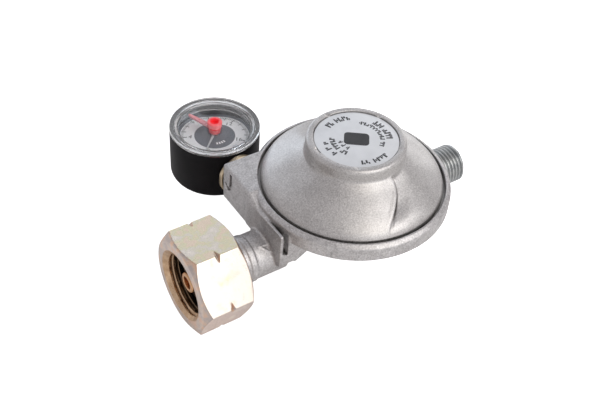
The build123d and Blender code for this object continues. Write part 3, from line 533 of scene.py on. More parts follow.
def diaphragm():
    """The rubber diaphragm in sectors round its axis."""
    low = mm_box("diaphragm")[0][2]
    clamp = low + 0.8
    roll = curve_through([(17.8, low), (19.3, low + 0.9), (21.2, low + 2.5), (23.0, low + 1.8), (24.6, clamp)], 5)
    back = [(25.1, clamp + 1), (23.2, low + 2.7), (21.3, low + 3.4), (19.2, low + 1.9), (17.8, low + 0.8)]
    back = curve_through(back, 5)
    section = np.array([(2.3, low), (10.0, low), *roll, (30.3, clamp), (30.3, clamp + 1), *back, (10.0, low + 0.8),
                        (2.3, low + 0.8)])
    steps = 10
    for k in range(SECTORS):
        turns = tau / SECTORS * (k + np.arange(steps + 1) / steps)
        points = np.stack([
            np.outer(np.cos(turns), section[:, 0]), np.outer(np.sin(turns), section[:, 0]),
            np.broadcast_to(section[:, 1], (len(turns), len(section))),
        ], -1).reshape(-1, 3)
        count = len(section)
        faces = grid_faces(steps + 1, count).tolist()
        faces.append(tuple(range(count - 1, -1, -1)))
        faces.append(tuple(range(steps * count, (steps + 1) * count)))
        obj = new_mesh(f"diaphragm_{k + 1}", points, faces, None)
        outward(obj)
        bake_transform(obj)
        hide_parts("diaphragm")


# ---- label
def flat_marks(name, outlines, level, thick, body="housing"):
    """Thin printed shapes: each outline is a closed list of points, raised from level by thick."""
    verts, faces = [], []
    for points in outlines:
        start, count = len(verts), len(points)
        verts += [(px, py, level) for px, py in points] + [(px, py, level + thick) for px, py in points]
        faces.append(tuple(range(start + count - 1, start - 1, -1)))
        faces.append(tuple(range(start + count, start + 2 * count)))
        for k in range(count):
            n = (k + 1) % count
            faces.append((start + k, start + n, start + count + n, start + count + k))
    return new_mesh(name, verts, faces, body, 30)


def arc_block(cx, cy, inner, outer, start, end, pieces=4):
    """The outline of a short piece of a ring, between two directions in degrees."""
    turns = np.radians(np.linspace(start, end, pieces + 1))
    edge = [(cx + outer * cos(t), cy + outer * sin(t)) for t in turns]
    return edge + [(cx + inner * cos(t), cy + inner * sin(t)) for t in turns[::-1]]


def word_arc(inner, outer, start, end, words, rng):
    """Short upright dashes along an arc, in groups, like print too small to read."""
    result = []
    total = sum(words) + 0.8 * (len(words) - 1)
    scale = (end - start) / total
    place = start
    for count in words:
        for _ in range(count):
            share = rng.uniform(0.34, 0.48)
            drop = rng.choice([0.0, 0.0, 0.25]) * (outer - inner)
            result.append(arc_block(0, 0, inner, outer - drop, place, place + share * scale, 2))
            low = inner + rng.choice([0.0, 0.3, 0.55]) * (outer - inner)
            result.append(arc_block(0, 0, low, low + 0.42 * (outer - inner), place + (share + 0.1) * scale,
                                    place + 0.86 * scale, 2))
            place += scale
        place += 0.8 * scale
    return result


def label():
    """The round plate in the tower: a disc with rows of unreadable dashes and a plain patch."""
    low, high = label_low[2], label_high[2]
    outline = rounded([(0, low), (13.2, low), (13.2, high), (0, high)], [0, 0.1, 0.15, 0])
    plate = lathe("label_disc", outline, segments=240)
    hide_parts("label_plate")
    rng = np.random.default_rng(5)
    marks = word_arc(9.3, 11.4, 116, 66, (2, 4), rng)
    marks += word_arc(10.1, 11.9, -118, -69, (2, 4), rng)
    marks += word_arc(9.3, 11.4, -28, 24, (4, 3), rng)
    marks += word_arc(7.3, 8.8, -54, 50, (2, 10), rng)
    marks += word_arc(9.2, 11.1, 196, 158, (1, 1, 1), rng)
    marks += word_arc(6.8, 8.5, 212, 146, (2, 5), rng)
    marks += word_arc(4.5, 6.1, 208, 160, (1, 1, 1), rng)
    c, s = cos(radians(CAMERA_TURN)), sin(radians(CAMERA_TURN))
    patch = rounded([(-3.9, -2.9), (3.9, -2.9), (3.9, 2.9), (-3.9, 2.9)], [1.3, 1.3, 1.3, 1.3])
    marks.append([(c * u + s * v, c * v - s * u) for u, v in patch])
    print_obj = flat_marks("label_print", marks, high + PRINT_GAP, 0.02)


# ---- inlet
def union_nut():
    """Hexagon with chamfered ends, corner notches and a left-hand internal thread."""
    step = 0.15 if FINE else 0.4
    origin, (x, y, z) = grid_axes(nut_low, nut_high, step, 0.6)
    z = z - INLET_Z
    middle = (NUT_FRONT + NUT_BACK) / 2
    turns = [radians(-124.1 - 60 * k) for k in range(6)]
    hexagon = hexagon_distance(y, z, [turn + radians(30) for turn in turns], NUT_FLAT)
    radius = np.hypot(y, z)
    nut = both(hexagon, slab(x, NUT_FRONT, NUT_BACK), 0.12)
    slope = atan2(1.77, NUT_CORNER - NUT_FACE_R)
    for end in (NUT_FRONT - x, x - NUT_BACK):
        cone = (radius - NUT_FACE_R) * sin(slope) + end * cos(slope)
        nut = both(nut, cone, 0.12)
    for turn in turns:
        along = y * cos(turn) + z * sin(turn) - (NUT_CORNER - 1.3)
        groove = (np.abs(x - middle) * 1.3 - 0.82 * along) / hypot(1.3, 0.82)
        nut = np.maximum(nut, -np.maximum(groove, -along))
    pitch, minor, major = 1.814, 9.75, 10.9
    phase = (x / pitch - np.arctan2(z, y) / tau) % 1
    tooth = np.clip(np.abs(phase - 0.5) * 2.6 - 0.3, 0, 1)
    wall = minor + (major - minor) * tooth * smooth_step(-48.9 - x, 0, 1.0)
    bore = np.maximum((radius - wall) * 0.75, slab(x, NUT_FRONT - 2, -48.35))
    mouth = (radius - 11.5 + (x - NUT_FRONT) * 1.1) * 0.67
    nut = np.maximum(nut, -np.minimum(bore, mouth))
    nut = np.maximum(nut, -within(radius - 7.8, x, -49, NUT_BACK + 2))
    obj = net_mesh("nut", nut, origin, step, 50, "nut")
    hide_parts("union_nut")


def inlet():
    """The turned nozzle in the inlet tube, and the seal round it."""
    nozzle = rounded(
        [(2.05, -59.65), (2.05, -39.5), (4.7, -39.5), (4.98, -39.8), (4.98, -49.0), (9.2, -49.0), (9.2, -52.0),
         (3.6, -52.0), (3.6, -55.2), (3.4, -55.2), (3.4, -59.65)],
        [0.25, 0, 0, 0, 0, 0.2, 0.2, 0, 0, 0, 0.7],
    )
    nozzle = lathe("nozzle", nozzle, axis="x", centre=(0, 0, INLET_Z), segments=160)
    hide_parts("inlet_nipple")
    seal = rounded([(3.65, -55.2), (3.65, -52.0), (9.2, -52.0), (9.2, -55.2)], [0.25, 0, 0.1, 0.6])
    seal = lathe("seal", seal, axis="x", centre=(0, 0, INLET_Z), segments=160)
    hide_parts("inlet_seal")


# ---- outlet
def outlet():
    """The outlet nipple with its left-hand thread."""
    start, end, pitch, depth = 31.9, out_high[0], 1.337, 0.80
    thread = [(OUTLET_R, s) for s in np.arange(start, end - 0.78, 0.08 if FINE else 0.2)]
    profile = [(4.1, 18.6), (4.1, end - 0.9), (5.0, end - 0.02), (5.25, end), (5.95, end), (6.2, end - 0.15),
               (OUTLET_R, end - 0.77)]
    profile += thread[::-1] + [(5.95, 31.6), (5.95, 30.5), (6.1, 30.3), (OUTLET_R, 30.2), (OUTLET_R, 28.0),
                               (5.2, 28.0), (5.18, 18.6)]

    def shift(radius, height, angle):
        phase = (height / pitch - angle / tau) % 1
        groove = np.clip(1.25 - np.abs(phase - 0.5) * 3.4, 0, 1)
        cut = depth * groove * smooth_step(height, 31.3, 32.4) * (radius > 5.6)
        return radius - np.minimum(cut, np.maximum(radius - 5.75, 0)), height

    obj = lathe("outlet_stub", profile, axis="x", centre=(0, 0, OUTLET_Z),
                segments=240 if FINE else 96, shift=shift, smooth_angle=60)
    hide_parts("outlet_nipple")


# ---- gauge
def gauge_shell():
    """Case and lens."""
    low, top = case_low[2], case_high[2]
    section = rounded([(0, low), (CASE_R, low), (CASE_R, top), (13.7, top), (13.7, low + 1.5), (0, low + 1.5)],
                      [0, 2.2, 0.2, 0.1, 0.3, 0], 10)
    case = lathe("case", section, centre=GAUGE_AXIS, segments=240)
    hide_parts("gauge_case")
    base, peak = lens_low[2], lens_high[2]
    section = rounded(
        [(1.65, 24.3), (12.2, 24.3), (12.45, base), (13.6, base), (13.6, 24.54), (CASE_R, 24.54), (CASE_R, peak),
         (13.4, peak), (12.5, 25.3), (1.65, 25.3)],
        [0.1, 0.3, 0.15, 0.15, 0, 0.15, 0.5, 0.3, 0.3, 0.1], 6,
    )
    lens = lathe("lens", section, centre=GAUGE_AXIS, segments=240)
    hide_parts("gauge_lens")


def gauge_socket():
    """Brass stem with its hexagon, and the block that carries the movement."""
    step = 0.16 if FINE else 0.3
    origin, (x, y, z) = grid_axes(socket_low, socket_high, step, 0.6)
    u, w = x - GX, z - STEM_Z
    radius = np.hypot(u, w)
    hexagon = hexagon_distance(u, w, [radians(60 * k) for k in range(6)], HEX_FLAT)
    collar = both(hexagon, slab(y, 25.55, 27.35), 0.1)
    for end in (25.55 - y, y - 27.35):
        collar = both(collar, (radius - HEX_FLAT) * 0.5 + end * 0.87, 0.1)
    collar = both(collar, radius - HEX_FLAT - 0.35, 0.2)
    stem = both(radius - 4.84, slab(y, 20.3, 27.35), 0.4)
    neck = within(radius - 3.1, y, 25.6, 31.0)
    block = both(np.maximum(np.abs(u) - 4.5, slab(z, 11.6, 20.2)), slab(y, 29.95, GY - 7.0), 0.1)
    tongue = np.maximum(np.abs(u) - 3.5, np.maximum(slab(y, GY - 8.0, GY + 2.0), slab(z, 11.6, 13.6)))
    port = y - GY + 9.6
    solid = drilled(
        np.minimum(np.minimum(joined(collar, stem, 0.2), neck), np.minimum(block, tongue)),
        within(radius - 1.2, y, 16, GY - 9.0),
        within(np.hypot(port, z - 14.6) - 0.9, u, -6, 0),
        within(np.hypot(u, port) - 0.9, z, 14.6, 16.2),
        np.maximum(np.hypot(np.abs(u) - 3.2, y - GY + 9.0) - 0.5, slab(z, 18.4, 21)),
    )
    obj = net_mesh("socket", solid, origin, step, 50)
    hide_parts("gauge_socket")


def numeral(text, size, place, turn, level, thick):
    """Points and faces of a numeral, lying flat at a place."""
    curve = bpy.data.curves.new("numeral", "FONT")
    curve.body = text
    curve.size = size
    curve.align_x = "CENTER"
    curve.align_y = "CENTER"
    curve.extrude = thick / 2
    curve.resolution_u = 6
    holder = add_object("numeral", curve)
    bpy.context.view_layer.update()
    mesh = bpy.data.meshes.new_from_object(holder)
    verts = np.array([v.co for v in mesh.vertices])
    faces = [tuple(p.vertices) for p in mesh.polygons]
    bpy.data.objects.remove(holder)
    bpy.data.curves.remove(curve)
    bpy.data.meshes.remove(mesh)
    c, s = cos(turn), sin(turn)
    return np.stack([
        place[0] + verts[:, 0] * c - verts[:, 1] * s, place[1] + verts[:, 0] * s + verts[:, 1] * c,
        level + thick / 2 + verts[:, 2],
    ], -1), faces


def dial():
    """Dial disc with its scale, numerals and dark centre."""
    low, high = dial_low[2], dial_high[2]
    section = rounded([(1.2, low), (13.2, low), (13.2, high), (1.2, high)], [0, 0.06, 0.1, 0])
    disc = lathe("dial_disc", section, centre=GAUGE_AXIS, segments=200)
    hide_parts("gauge_dial")
    print_z = high + PRINT_GAP
    centre = [arc_block(GX, GY, 1.25, 7.15, a, a + 30, 8) for a in range(0, 360, 30)]
    centre = flat_marks("dial_centre", centre, print_z, PRINT_THICK)
    # Painted shade: a slate ring over the dial's outer edge, where the case wall shades the dial.
    edge = [arc_block(GX, GY, 11.95, 13.1, a, a + 15, 4) for a in range(0, 360, 15)]
    edge = flat_marks("dial_edge", edge, print_z, PRINT_THICK)
    dashes = [arc_block(GX, GY, 4.2, 5.2, a, a + 7, 2) for a in range(-113, -70, 11)]
    dashes = flat_marks("dial_dashes", dashes, high + 0.016, 0.008)
    marks = []
    for k in range(81):
        turn = -135 - k * 270 / 80
        inner = 9.6 if k % 20 == 0 else 10.1 if k % 5 == 0 else 10.7
        half = 0.9 if k % 5 == 0 else 0.5
        marks.append(arc_block(GX, GY, inner, 11.65, turn - half, turn + half, 1))
    scale = flat_marks("dial_scale", marks, print_z, PRINT_THICK)
    verts, faces = np.zeros((0, 3)), []
    for k, text in enumerate(("0", "4", "8", "12", "16")):
        turn = radians(-135 - 67.5 * k)
        place = (GX + 8.5 * cos(turn), GY + 8.5 * sin(turn))
        points, polygons = numeral(text, 2.5, place, -radians(CAMERA_TURN), print_z, PRINT_THICK)
        faces += [tuple(i + len(verts) for i in p) for p in polygons]
        verts = np.vstack([verts, points])
    figures = new_mesh("dial_figures", verts, faces, smooth_angle=30)


def hands():
    """The tapered pointer, and the adjustable red marker that passes through the lens."""
    level = mm_box("gauge_pointer")[0][2]
    zero = -138.0

    def at(turn, radius):
        turn = radians(turn)
        return GX + radius * cos(turn), GY + radius * sin(turn)

    hub = rounded([(0.5, level), (1.25, level), (1.25, level + 0.6), (0.5, level + 0.6)], [0, 0.05, 0.15, 0.05])
    hub = lathe("pointer_hub", hub, "pointer", centre=GAUGE_AXIS, segments=64)
    blade = flat_marks("pointer_blade", [[
        at(zero + 95, 0.45), at(zero + 172, 3.4), at(zero + 180, 3.55), at(zero - 172, 3.4), at(zero - 95, 0.45),
        at(zero - 0.8, 9.45), at(zero, 9.6), at(zero + 0.8, 9.45),
    ]], level + 0.02, 0.26, "pointer")
    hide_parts("gauge_pointer")
    knob = rounded(
        [(0, 22.1), (2.05, 22.1), (2.15, 24.2), (1.6, 24.2), (1.6, 25.4), (2.4, 25.4), (2.5, 27.3), (1.3, 27.3),
         (1.1, 25.9), (0, 25.9)],
        [0, 0.25, 0.1, 0.1, 0.1, 0.15, 0.35, 0.2, 0.1, 0], 6,
    )
    knob = lathe("marker_knob", knob, "marker", centre=GAUGE_AXIS, segments=96)
    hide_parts("pressure_marker")
    red = 110.8
    arm = flat_marks("marker_arm", [[
        at(red + 90, 1.15), at(red - 90, 1.15), at(red - 2.4, 10.7), at(red - 1.2, 11.3), at(red, 11.4),
        at(red + 1.2, 11.3), at(red + 2.4, 10.7),
    ]], 23.2, 0.8, "marker")


casting()
cover()
diaphragm()
label()
union_nut()
inlet()
outlet()
gauge_shell()
gauge_socket()
dial()
hands()


# ---- materials
class Nodes:
    """Builds one procedural material's node tree."""

    def __init__(self, name, **principled):
        self.material = bpy.data.materials.new(name)
        self.material.use_nodes = True
        self.tree = self.material.node_tree
        self.tree.nodes.clear()
        self.output = self.add("OutputMaterial")
        self.shader = self.add("BsdfPrincipled", **principled)
        self.tree.links.new(self.shader.outputs["BSDF"], self.output.inputs["Surface"])
        self.place = self.add("TexCoord").outputs["Object"]

    def add(self, kind, **inputs):
        """A new shader node with these inputs."""
        node = self.tree.nodes.new("ShaderNode" + kind)
        for key, value in inputs.items():
            self.put(value, node.inputs[key.replace("_", " ")])
        return node

    def put(self, value, socket):
        """Links an output to an input socket, or sets a constant on it."""
        if isinstance(value, bpy.types.NodeSocket):
            self.tree.links.new(value, socket)
        else:
            socket.default_value = value

    def noise(self, size_mm, detail=3.0, rough=0.55):
        """A noise value whose blobs are about size_mm wide."""
        scale = 1 / (size_mm * MM)
        return self.add("TexNoise", Scale=scale, Detail=detail, Roughness=rough, Vector=self.place).outputs["Fac"]

    def ramp(self, value, *stops):
        """A colour ramp.  Each stop is (position, (r, g, b))."""
        node = self.add("ValToRGB", Fac=value)
        for position, colour in stops[1:-1]:
            node.color_ramp.elements.new(position).color = (*colour, 1)
        ends = node.color_ramp.elements
        ends[0].position, ends[0].color = stops[0][0], (*stops[0][1], 1)
        ends[len(ends) - 1].position, ends[len(ends) - 1].color = stops[-1][0], (*stops[-1][1], 1)
        return node.outputs["Color"]

    def between(self, value, low, high, from_low=0.3, from_high=0.7):
        """The value mapped to low..high."""
        node = self.add("MapRange", From_Min=from_low, From_Max=from_high, To_Min=low, To_Max=high, Value=value)
        node.clamp = True
        return node.outputs["Result"]

    def math(self, operation, first, second=0.0):
        """A sum, product or other operation on two values."""
        node = self.add("Math")
        node.operation = operation
        self.put(first, node.inputs[0])
        self.put(second, node.inputs[1])
        return node.outputs["Value"]

    def split(self, vector):
        """The three parts of a vector."""
        node = self.add("SeparateXYZ", Vector=vector)
        return node.outputs["X"], node.outputs["Y"], node.outputs["Z"]

    def facing(self):
        """The surface's direction, in the object's own axes."""
        return self.split(self.add("TexCoord").outputs["Normal"])

    def off_axis(self, u, v, centre_u, centre_v):
        """How far a place is from an axis through (centre_u, centre_v), all in metres."""
        across = self.math("POWER", self.math("SUBTRACT", u, centre_u), 2.0)
        along = self.math("POWER", self.math("SUBTRACT", v, centre_v), 2.0)
        return self.math("SQRT", self.math("ADD", across, along))

    def blend(self, share, first, second):
        """Two colours mixed: first where share is 0, second where it is 1."""
        node = self.add("Mix")
        node.data_type = "RGBA"
        self.put(share, node.inputs["Factor"])
        self.put(first, node.inputs[6])
        self.put(second, node.inputs[7])
        return node.outputs[2]

    def crevice(self, reach_mm):
        """1 deep in a narrow corner of the same piece, 0 in the open; it sets how much painted shade goes there.
        """
        node = self.add("AmbientOcclusion", Distance=reach_mm * MM)
        node.samples = 8
        node.only_local = True
        return self.between(node.outputs["AO"], 0.85, 0, 0.25, 0.72)

    def bump(self, value, depth_mm):
        """Bumps of this depth."""
        return self.add("Bump", Distance=depth_mm * MM, Strength=1.0, Height=value).outputs["Normal"]

    def see_through(self, share):
        """Lets this share of the light from a lamp straight through, as a thin clear wall does."""
        part = self.math("MULTIPLY", self.add("LightPath").outputs["Is Shadow Ray"], share)
        clear = self.add("BsdfTransparent")
        mix = self.add("MixShader", Fac=part)
        self.put(self.shader.outputs["BSDF"], mix.inputs[1])
        self.put(clear.outputs["BSDF"], mix.inputs[2])
        self.put(mix.outputs["Shader"], self.output.inputs["Surface"])

    def set(self, **values):
        """Puts values on the principled shader."""
        for key, value in values.items():
            self.put(value, self.shader.inputs[key.replace("_", " ")])
        return self.material


def metal(
    name, dark, light, rough, grain_mm, depth_mm,
    blotch_mm=6.0, rough_spread=0.08, shine=1.0, gloss=0.5, fleck=0.0, corner_shade=None,
):
    """A metal whose colour and roughness drift slowly, with a fine grain in its surface.
    fleck is the share of the grain in the colour, and the last argument is the colour of the shade painted into
    narrow corners."""
    nodes = Nodes(name, Metallic=shine, Specular_IOR_Level=gloss)
    slow = nodes.noise(blotch_mm, 3)
    fine = nodes.noise(grain_mm, 4)
    drift = nodes.math("MULTIPLY", slow, 1 - fleck)
    colour = nodes.ramp(nodes.math("ADD", drift, nodes.math("MULTIPLY", fine, fleck)), (0.3, dark), (0.7, light))
    if corner_shade:
        # Painted shade: narrow corners of the piece, such as the cover's crease, are darkened towards this colour.
        colour = nodes.blend(nodes.crevice(1.3), colour, (*corner_shade, 1.0))
    roughness = nodes.between(fine, rough - rough_spread, rough + rough_spread)
    return nodes.set(Base_Color=colour, Roughness=roughness, Normal=nodes.bump(fine, depth_mm))


def dull(name, dark, light, rough, grain_mm, depth_mm, gloss=0.5):
    """A rubber or plastic with a slightly uneven surface."""
    return metal(name, dark, light, rough, grain_mm, depth_mm, shine=0.0, gloss=gloss)


# Both castings get painted shade in their narrow corners.
zamak = metal(
    "zamak", (0.37, 0.36, 0.355), (0.77, 0.76, 0.75), 0.47, 0.42, 0.05, fleck=0.75, corner_shade=(0.10, 0.095, 0.09),
)
cast_zamak = metal(
    "cast_zamak", (0.33, 0.32, 0.32), (0.79, 0.78, 0.78), 0.47, 0.5, 0.09, blotch_mm=3.0, fleck=0.7,
    corner_shade=(0.12, 0.115, 0.11),
)
brass = metal("brass", (0.55, 0.38, 0.16), (0.72, 0.52, 0.24), 0.28, 0.12, 0.002)
stem_brass = metal("stem_brass", (0.62, 0.50, 0.34), (0.78, 0.66, 0.48), 0.32, 0.2, 0.003)
copper = metal("copper", (0.66, 0.38, 0.20), (0.80, 0.50, 0.28), 0.25, 0.12, 0.002)


def passivated_zinc():
    """Yellow passivated zinc: pale flats with green and lilac clouds, tan end faces, a golden thread; painted
    reflection darkens down-facing flats and tints the ends and chamfers, and painted shade darkens the thread deep
    in the bore.
    """
    nodes = Nodes("yellow_zinc", Metallic=1.0)
    lengthwise, _, upward = nodes.facing()
    # Painted reflection: flats facing down are pushed towards the darker, peachier colours, and flats facing up
    # towards the yellower ones.
    facing_shade = nodes.math(
        "ADD", nodes.between(upward, -0.15, 0.08, 0.6, 0.95), nodes.between(upward, -0.3, 0, -0.4, 0.4),
    )
    flats = nodes.ramp(
        nodes.math("ADD", nodes.noise(4.5, 3, 0.6), facing_shade), (0.10, (0.74, 0.62, 0.56)), (0.24, (0.88, 0.80, 0.72)),
        (0.40, (0.88, 0.80, 0.70)), (0.48, (0.78, 0.71, 0.63)), (0.54, (0.77, 0.71, 0.59)),
        (0.60, (0.76, 0.71, 0.49)), (0.68, (0.83, 0.69, 0.55)),
    )
    lengthwise = nodes.math("ABSOLUTE", lengthwise)
    stain = nodes.noise(3.6, 3)
    # Painted reflection: end faces get tan colours and chamfers darker ones, chosen by which way they face; the
    # stain clouds in them are the coating's own.
    ends = nodes.ramp(stain, (0.38, (0.70, 0.60, 0.56)), (0.50, (0.80, 0.70, 0.62)), (0.64, (0.90, 0.66, 0.52)))
    chamfer_stain_and_shade = nodes.ramp(stain, (0.42, (0.48, 0.43, 0.41)), (0.58, (0.74, 0.50, 0.35)))
    ends = nodes.blend(nodes.between(lengthwise, 0, 1, 0.8, 0.98), chamfer_stain_and_shade, ends)
    is_end = nodes.between(lengthwise, 0, 1, 0.22, 0.5)
    x, y, z = nodes.split(nodes.place)
    thread = nodes.ramp(nodes.noise(2.0, 3), (0.3, (0.56, 0.37, 0.22)), (0.7, (0.78, 0.57, 0.38)))
    # Painted shade: the thread colour darkens to near black further into the bore.
    deep = nodes.between(x, 0, 1, (NUT_FRONT + 2.2) * MM, (NUT_FRONT + 5.0) * MM)
    gold = nodes.blend(deep, thread, (0.10, 0.07, 0.045, 1.0))
    inside = nodes.between(nodes.off_axis(y, z, 0.0, INLET_Z * MM), 1, 0, 11.45 * MM, 11.75 * MM)
    colour = nodes.blend(inside, nodes.blend(is_end, flats, ends), gold)
    fine = nodes.noise(0.3, 4)
    return nodes.set(Base_Color=colour, Roughness=nodes.between(fine, 0.24, 0.36), Normal=nodes.bump(fine, 0.003))


def marker_plastic():
    """Translucent red plastic: deep red on top, paler down the sides where light comes through."""
    nodes = Nodes("marker_plastic", Metallic=0.0, Roughness=0.25)
    _, _, upward = nodes.facing()
    cloud = nodes.noise(1.2, 2)
    pale = nodes.ramp(cloud, (0.3, (0.86, 0.20, 0.22)), (0.7, (0.96, 0.34, 0.35)))
    deep = nodes.ramp(cloud, (0.3, (0.92, 0.025, 0.04)), (0.7, (1.0, 0.05, 0.06)))
    # Painted glow: a faint red self-glow stands in for light coming through the plastic.
    nodes.set(Emission_Color=(1.0, 0.05, 0.06, 1.0), Emission_Strength=0.06)
    x, y, z = nodes.split(nodes.place)
    high = nodes.between(z, 0, 1, 25.6 * MM, 26.5 * MM)
    socket = nodes.between(nodes.off_axis(x, y, GX * MM, GY * MM), 1, 0, 1.5 * MM, 2.2 * MM)
    facing_up = nodes.math("MULTIPLY", high, nodes.between(upward, 0, 0.45, 0.1, 0.6))
    top = nodes.math("MAXIMUM", facing_up, socket)
    return nodes.set(Base_Color=nodes.blend(top, pale, deep), Roughness=nodes.between(cloud, 0.2, 0.3))


yellow_zinc = passivated_zinc()
zinc = metal("zinc", (0.38, 0.40, 0.41), (0.54, 0.55, 0.54), 0.32, 0.2, 0.003)
steel = metal("steel", (0.45, 0.45, 0.46), (0.58, 0.58, 0.59), 0.28, 0.15, 0.002)
spring_steel = metal("spring_steel", (0.30, 0.30, 0.31), (0.42, 0.42, 0.43), 0.30, 0.12, 0.002)
rubber = dull("rubber", (0.012, 0.012, 0.012), (0.022, 0.021, 0.021), 0.6, 0.3, 0.006)
case_black = dull("case_black", (0.005, 0.005, 0.006), (0.009, 0.008, 0.009), 0.45, 0.2, 0.004, gloss=0.1)
nylon = dull("nylon", (0.62, 0.60, 0.54), (0.72, 0.70, 0.64), 0.45, 0.4, 0.004)
dial_white = dull("dial_white", (0.88, 0.89, 0.92), (0.93, 0.94, 0.97), 0.6, 0.3, 0.001)
pointer_pale = dull("pointer_pale", (0.52, 0.54, 0.57), (0.62, 0.64, 0.66), 0.4, 0.3, 0.001)
label_metal = metal("label_metal", (0.72, 0.74, 0.76), (0.80, 0.82, 0.84), 0.38, 0.2, 0.003, shine=0.6)
red = marker_plastic()
pink = dull("pink", (0.82, 0.12, 0.15), (0.90, 0.20, 0.22), 0.3, 0.8, 0.002)


def lens_material():
    """Clear acrylic with a faint haze."""
    nodes = Nodes("clear_lens", Metallic=0.0, IOR=1.49)
    x, y, _ = nodes.split(nodes.place)
    skirt = nodes.between(nodes.off_axis(x, y, GX * MM, GY * MM), 1.0, 0.93, 12.2 * MM, 12.7 * MM)
    tint = nodes.ramp(nodes.noise(8.0, 2), (0.3, (0.97, 0.98, 0.98)), (0.7, (1.0, 1.0, 1.0)))
    nodes.see_through(0.92)
    haze = nodes.between(nodes.noise(1.5, 2), 0.01, 0.03)
    return nodes.set(Base_Color=tint, Roughness=haze, Transmission_Weight=skirt)


clear_lens = lens_material()

ink = dull("ink", (0.030, 0.032, 0.036), (0.045, 0.047, 0.052), 0.5, 0.3, 0.001)
slate = dull("slate", (0.108, 0.116, 0.142), (0.13, 0.14, 0.168), 0.5, 0.3, 0.001)

by_name = {**frame["nodes"], **pieces}
for finish, names in (
    (cast_zamak, "body_casting casting"),
    (zamak, "cover cover_shell adjusting_screw diaphragm_stem"),
    (label_metal, "label_plate label_disc"),
    (brass, "relief_nut orifice_seat inlet_filter bourdon_tube bourdon_tip sector_gear tip_link"
            " movement_bottom_plate movement_top_plate movement_pillars"),
    (stem_brass, "gauge_socket socket"),
    (copper, "inlet_nipple nozzle"),
    (yellow_zinc, "union_nut nut"),
    (zinc, "outlet_nipple outlet_stub"),
    (steel, "diaphragm_plate lever lever_pin nut_washer dial_screws pinion_arbor sector_pin movement_screws"),
    (spring_steel, "main_spring relief_spring hairspring"),
    (rubber, "valve_pad inlet_seal seal gauge_seal diaphragm"),
    (rubber, " ".join(f"diaphragm_{k + 1}" for k in range(SECTORS))),
    (nylon, "valve_carrier"),
    (case_black, "gauge_case case"),
    (clear_lens, "gauge_lens lens"),
    (dial_white, "gauge_dial dial_disc dial_dashes"),
    (slate, "dial_centre dial_edge"),
    (ink, "label_print dial_scale dial_figures"),
    (pointer_pale, "gauge_pointer pointer_hub pointer_blade"),
    (red, "pressure_marker marker_knob"),
    (pink, "marker_arm"),
):
    for name in names.split():
        by_name[name].data.materials.clear()
        by_name[name].data.materials.append(finish)


# ---- floor, light and camera
FLOOR_GLOW = 0.85  # the sweep is lit from behind, like a light table
LAMP_REACH = 0.6  # metres from the object to each lamp
LAMP_SIZE = 0.36
LAMP_AIM_Z = 0.015
LAMPS = (  # name, degrees from +X towards +Y, degrees up, watts, colour
    ("front_right", 300, 42, 0.82, (1.0, 0.99, 0.99)),
    ("front", 270, 42, 0.56, (1.0, 0.93, 0.82)),
    ("front_low", 270, 14, 0.50, (1.0, 1.0, 1.0)),
    ("left_low", 90, 14, 0.50, (0.78, 0.88, 1.0)),
    ("back", 60, 42, 0.13, (0.72, 0.86, 1.0)),
    ("right_low", 30, 14, 0.42, (1.0, 1.0, 1.0)),
)


def floor():
    """A pale sweep under the object, with a faint unevenness."""
    near, wide, back, bend, rise = -0.9, 1.4, 0.55, 0.25, 0.6  # metres
    level = cad_box[0].z - 0.0002
    points, faces = [], []
    section = [(near, level)] + [(back * k / 12 - 0.2, level) for k in range(12)]
    for a in np.linspace(0, pi / 2, 16):
        section.append((back + bend * sin(a), level + bend * (1 - cos(a))))
    section.append((back + bend, level + rise))
    for depth, height in section:
        points += [(-wide, depth, height), (wide, depth, height)]
    for k in range(len(section) - 1):
        faces.append((2 * k, 2 * k + 1, 2 * k + 3, 2 * k + 2))
    mesh = bpy.data.meshes.new("floor")
    mesh.from_pydata(points, [], faces)
    mesh.polygons.foreach_set("use_smooth", [True] * len(faces))
    obj = add_object("floor", mesh)
    obj.rotation_euler = (0, 0, radians(-CAMERA_TURN))
    paper = dull("paper", (0.90, 0.90, 0.90), (0.93, 0.93, 0.93), 0.9, 2.0, 0.01)
    tree = paper.node_tree
    shader = next(node for node in tree.nodes if node.type == "BSDF_PRINCIPLED")
    seen = tree.nodes.new("ShaderNodeLightPath")
    glow = tree.nodes.new("ShaderNodeMath")
    glow.operation = "MULTIPLY"
    glow.inputs[1].default_value = FLOOR_GLOW
    tree.links.new(seen.outputs["Is Camera Ray"], glow.inputs[0])
    tree.links.new(glow.outputs["Value"], shader.inputs["Emission Strength"])
    shader.inputs["Emission Color"].default_value = (1, 1, 1, 1)
    mesh.materials.append(paper)


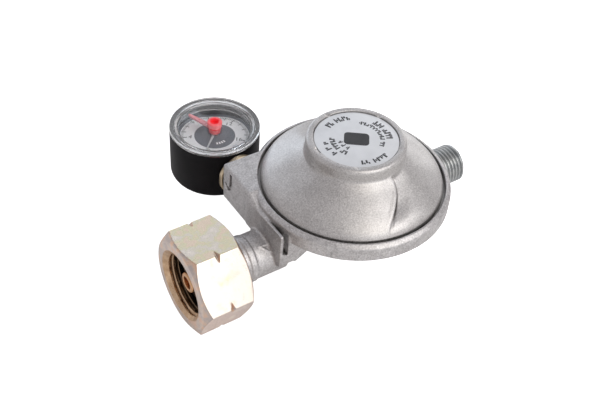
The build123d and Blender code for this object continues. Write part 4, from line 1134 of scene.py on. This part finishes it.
def soft_light(name, turn, height, watts, colour):
    """A large square lamp that faces the object from a direction."""
    lamp = bpy.data.lights.new(name, "AREA")
    lamp.shape = "SQUARE"
    lamp.size = LAMP_SIZE
    lamp.energy = watts
    lamp.color = colour
    turn, height = radians(turn), radians(height)
    aim = Vector((0, 0, LAMP_AIM_Z))
    way = Vector((cos(height) * cos(turn), cos(height) * sin(turn), sin(height)))
    obj = add_object(name, lamp)
    obj.location = aim + LAMP_REACH * way
    obj.rotation_euler = (-way).to_track_quat("-Z", "Y").to_euler()
    obj.visible_camera = False


CAMERA_DROP = 43.30
CAMERA_ROLL = 4.62
CAMERA_OFFSET = (16.33, -7.68, 309.02)
CAMERA_LENS = 58.27
AIM_Z = 25.0


def camera():
    """The viewpoint: a longish lens from above, in front and to the left."""
    turn, drop, roll = (radians(v) for v in (CAMERA_TURN, CAMERA_DROP, CAMERA_ROLL))
    right = np.array([cos(turn), -sin(turn), 0])
    ahead = np.array([sin(turn), cos(turn), 0])
    up = sin(drop) * ahead + np.array([0, 0, cos(drop)])
    forward = cos(drop) * ahead - np.array([0, 0, sin(drop)])
    c, s = cos(roll), sin(roll)
    axes = np.array([[c, -s, 0], [s, c, 0], [0, 0, 1]]) @ np.array([right, -up, forward])
    place = (-axes.T @ np.array(CAMERA_OFFSET) + np.array([0, 0, AIM_Z])) * MM
    data = bpy.data.cameras.new("camera")
    data.sensor_width = 36.0
    data.sensor_fit = "HORIZONTAL"
    data.lens = CAMERA_LENS
    data.clip_start, data.clip_end = 0.01, 10
    obj = add_object("camera", data)
    columns = np.array([axes[0], -axes[1], -axes[2]]).T
    obj.matrix_world = Matrix.Translation(Vector(place)) @ Matrix(columns.tolist()).to_4x4()
    bpy.context.scene.camera = obj


def world():
    """An even, bright surround."""
    surround = bpy.data.worlds.new("surround")
    surround.use_nodes = True
    background = surround.node_tree.nodes["Background"]
    background.inputs["Color"].default_value = (1.0, 0.96, 0.98, 1)
    background.inputs["Strength"].default_value = 0.53
    bpy.context.scene.world = surround


world()
floor()
camera()
for lamp_row in LAMPS:
    soft_light(*lamp_row)
bpy.context.scene.view_settings.view_transform = "Standard"
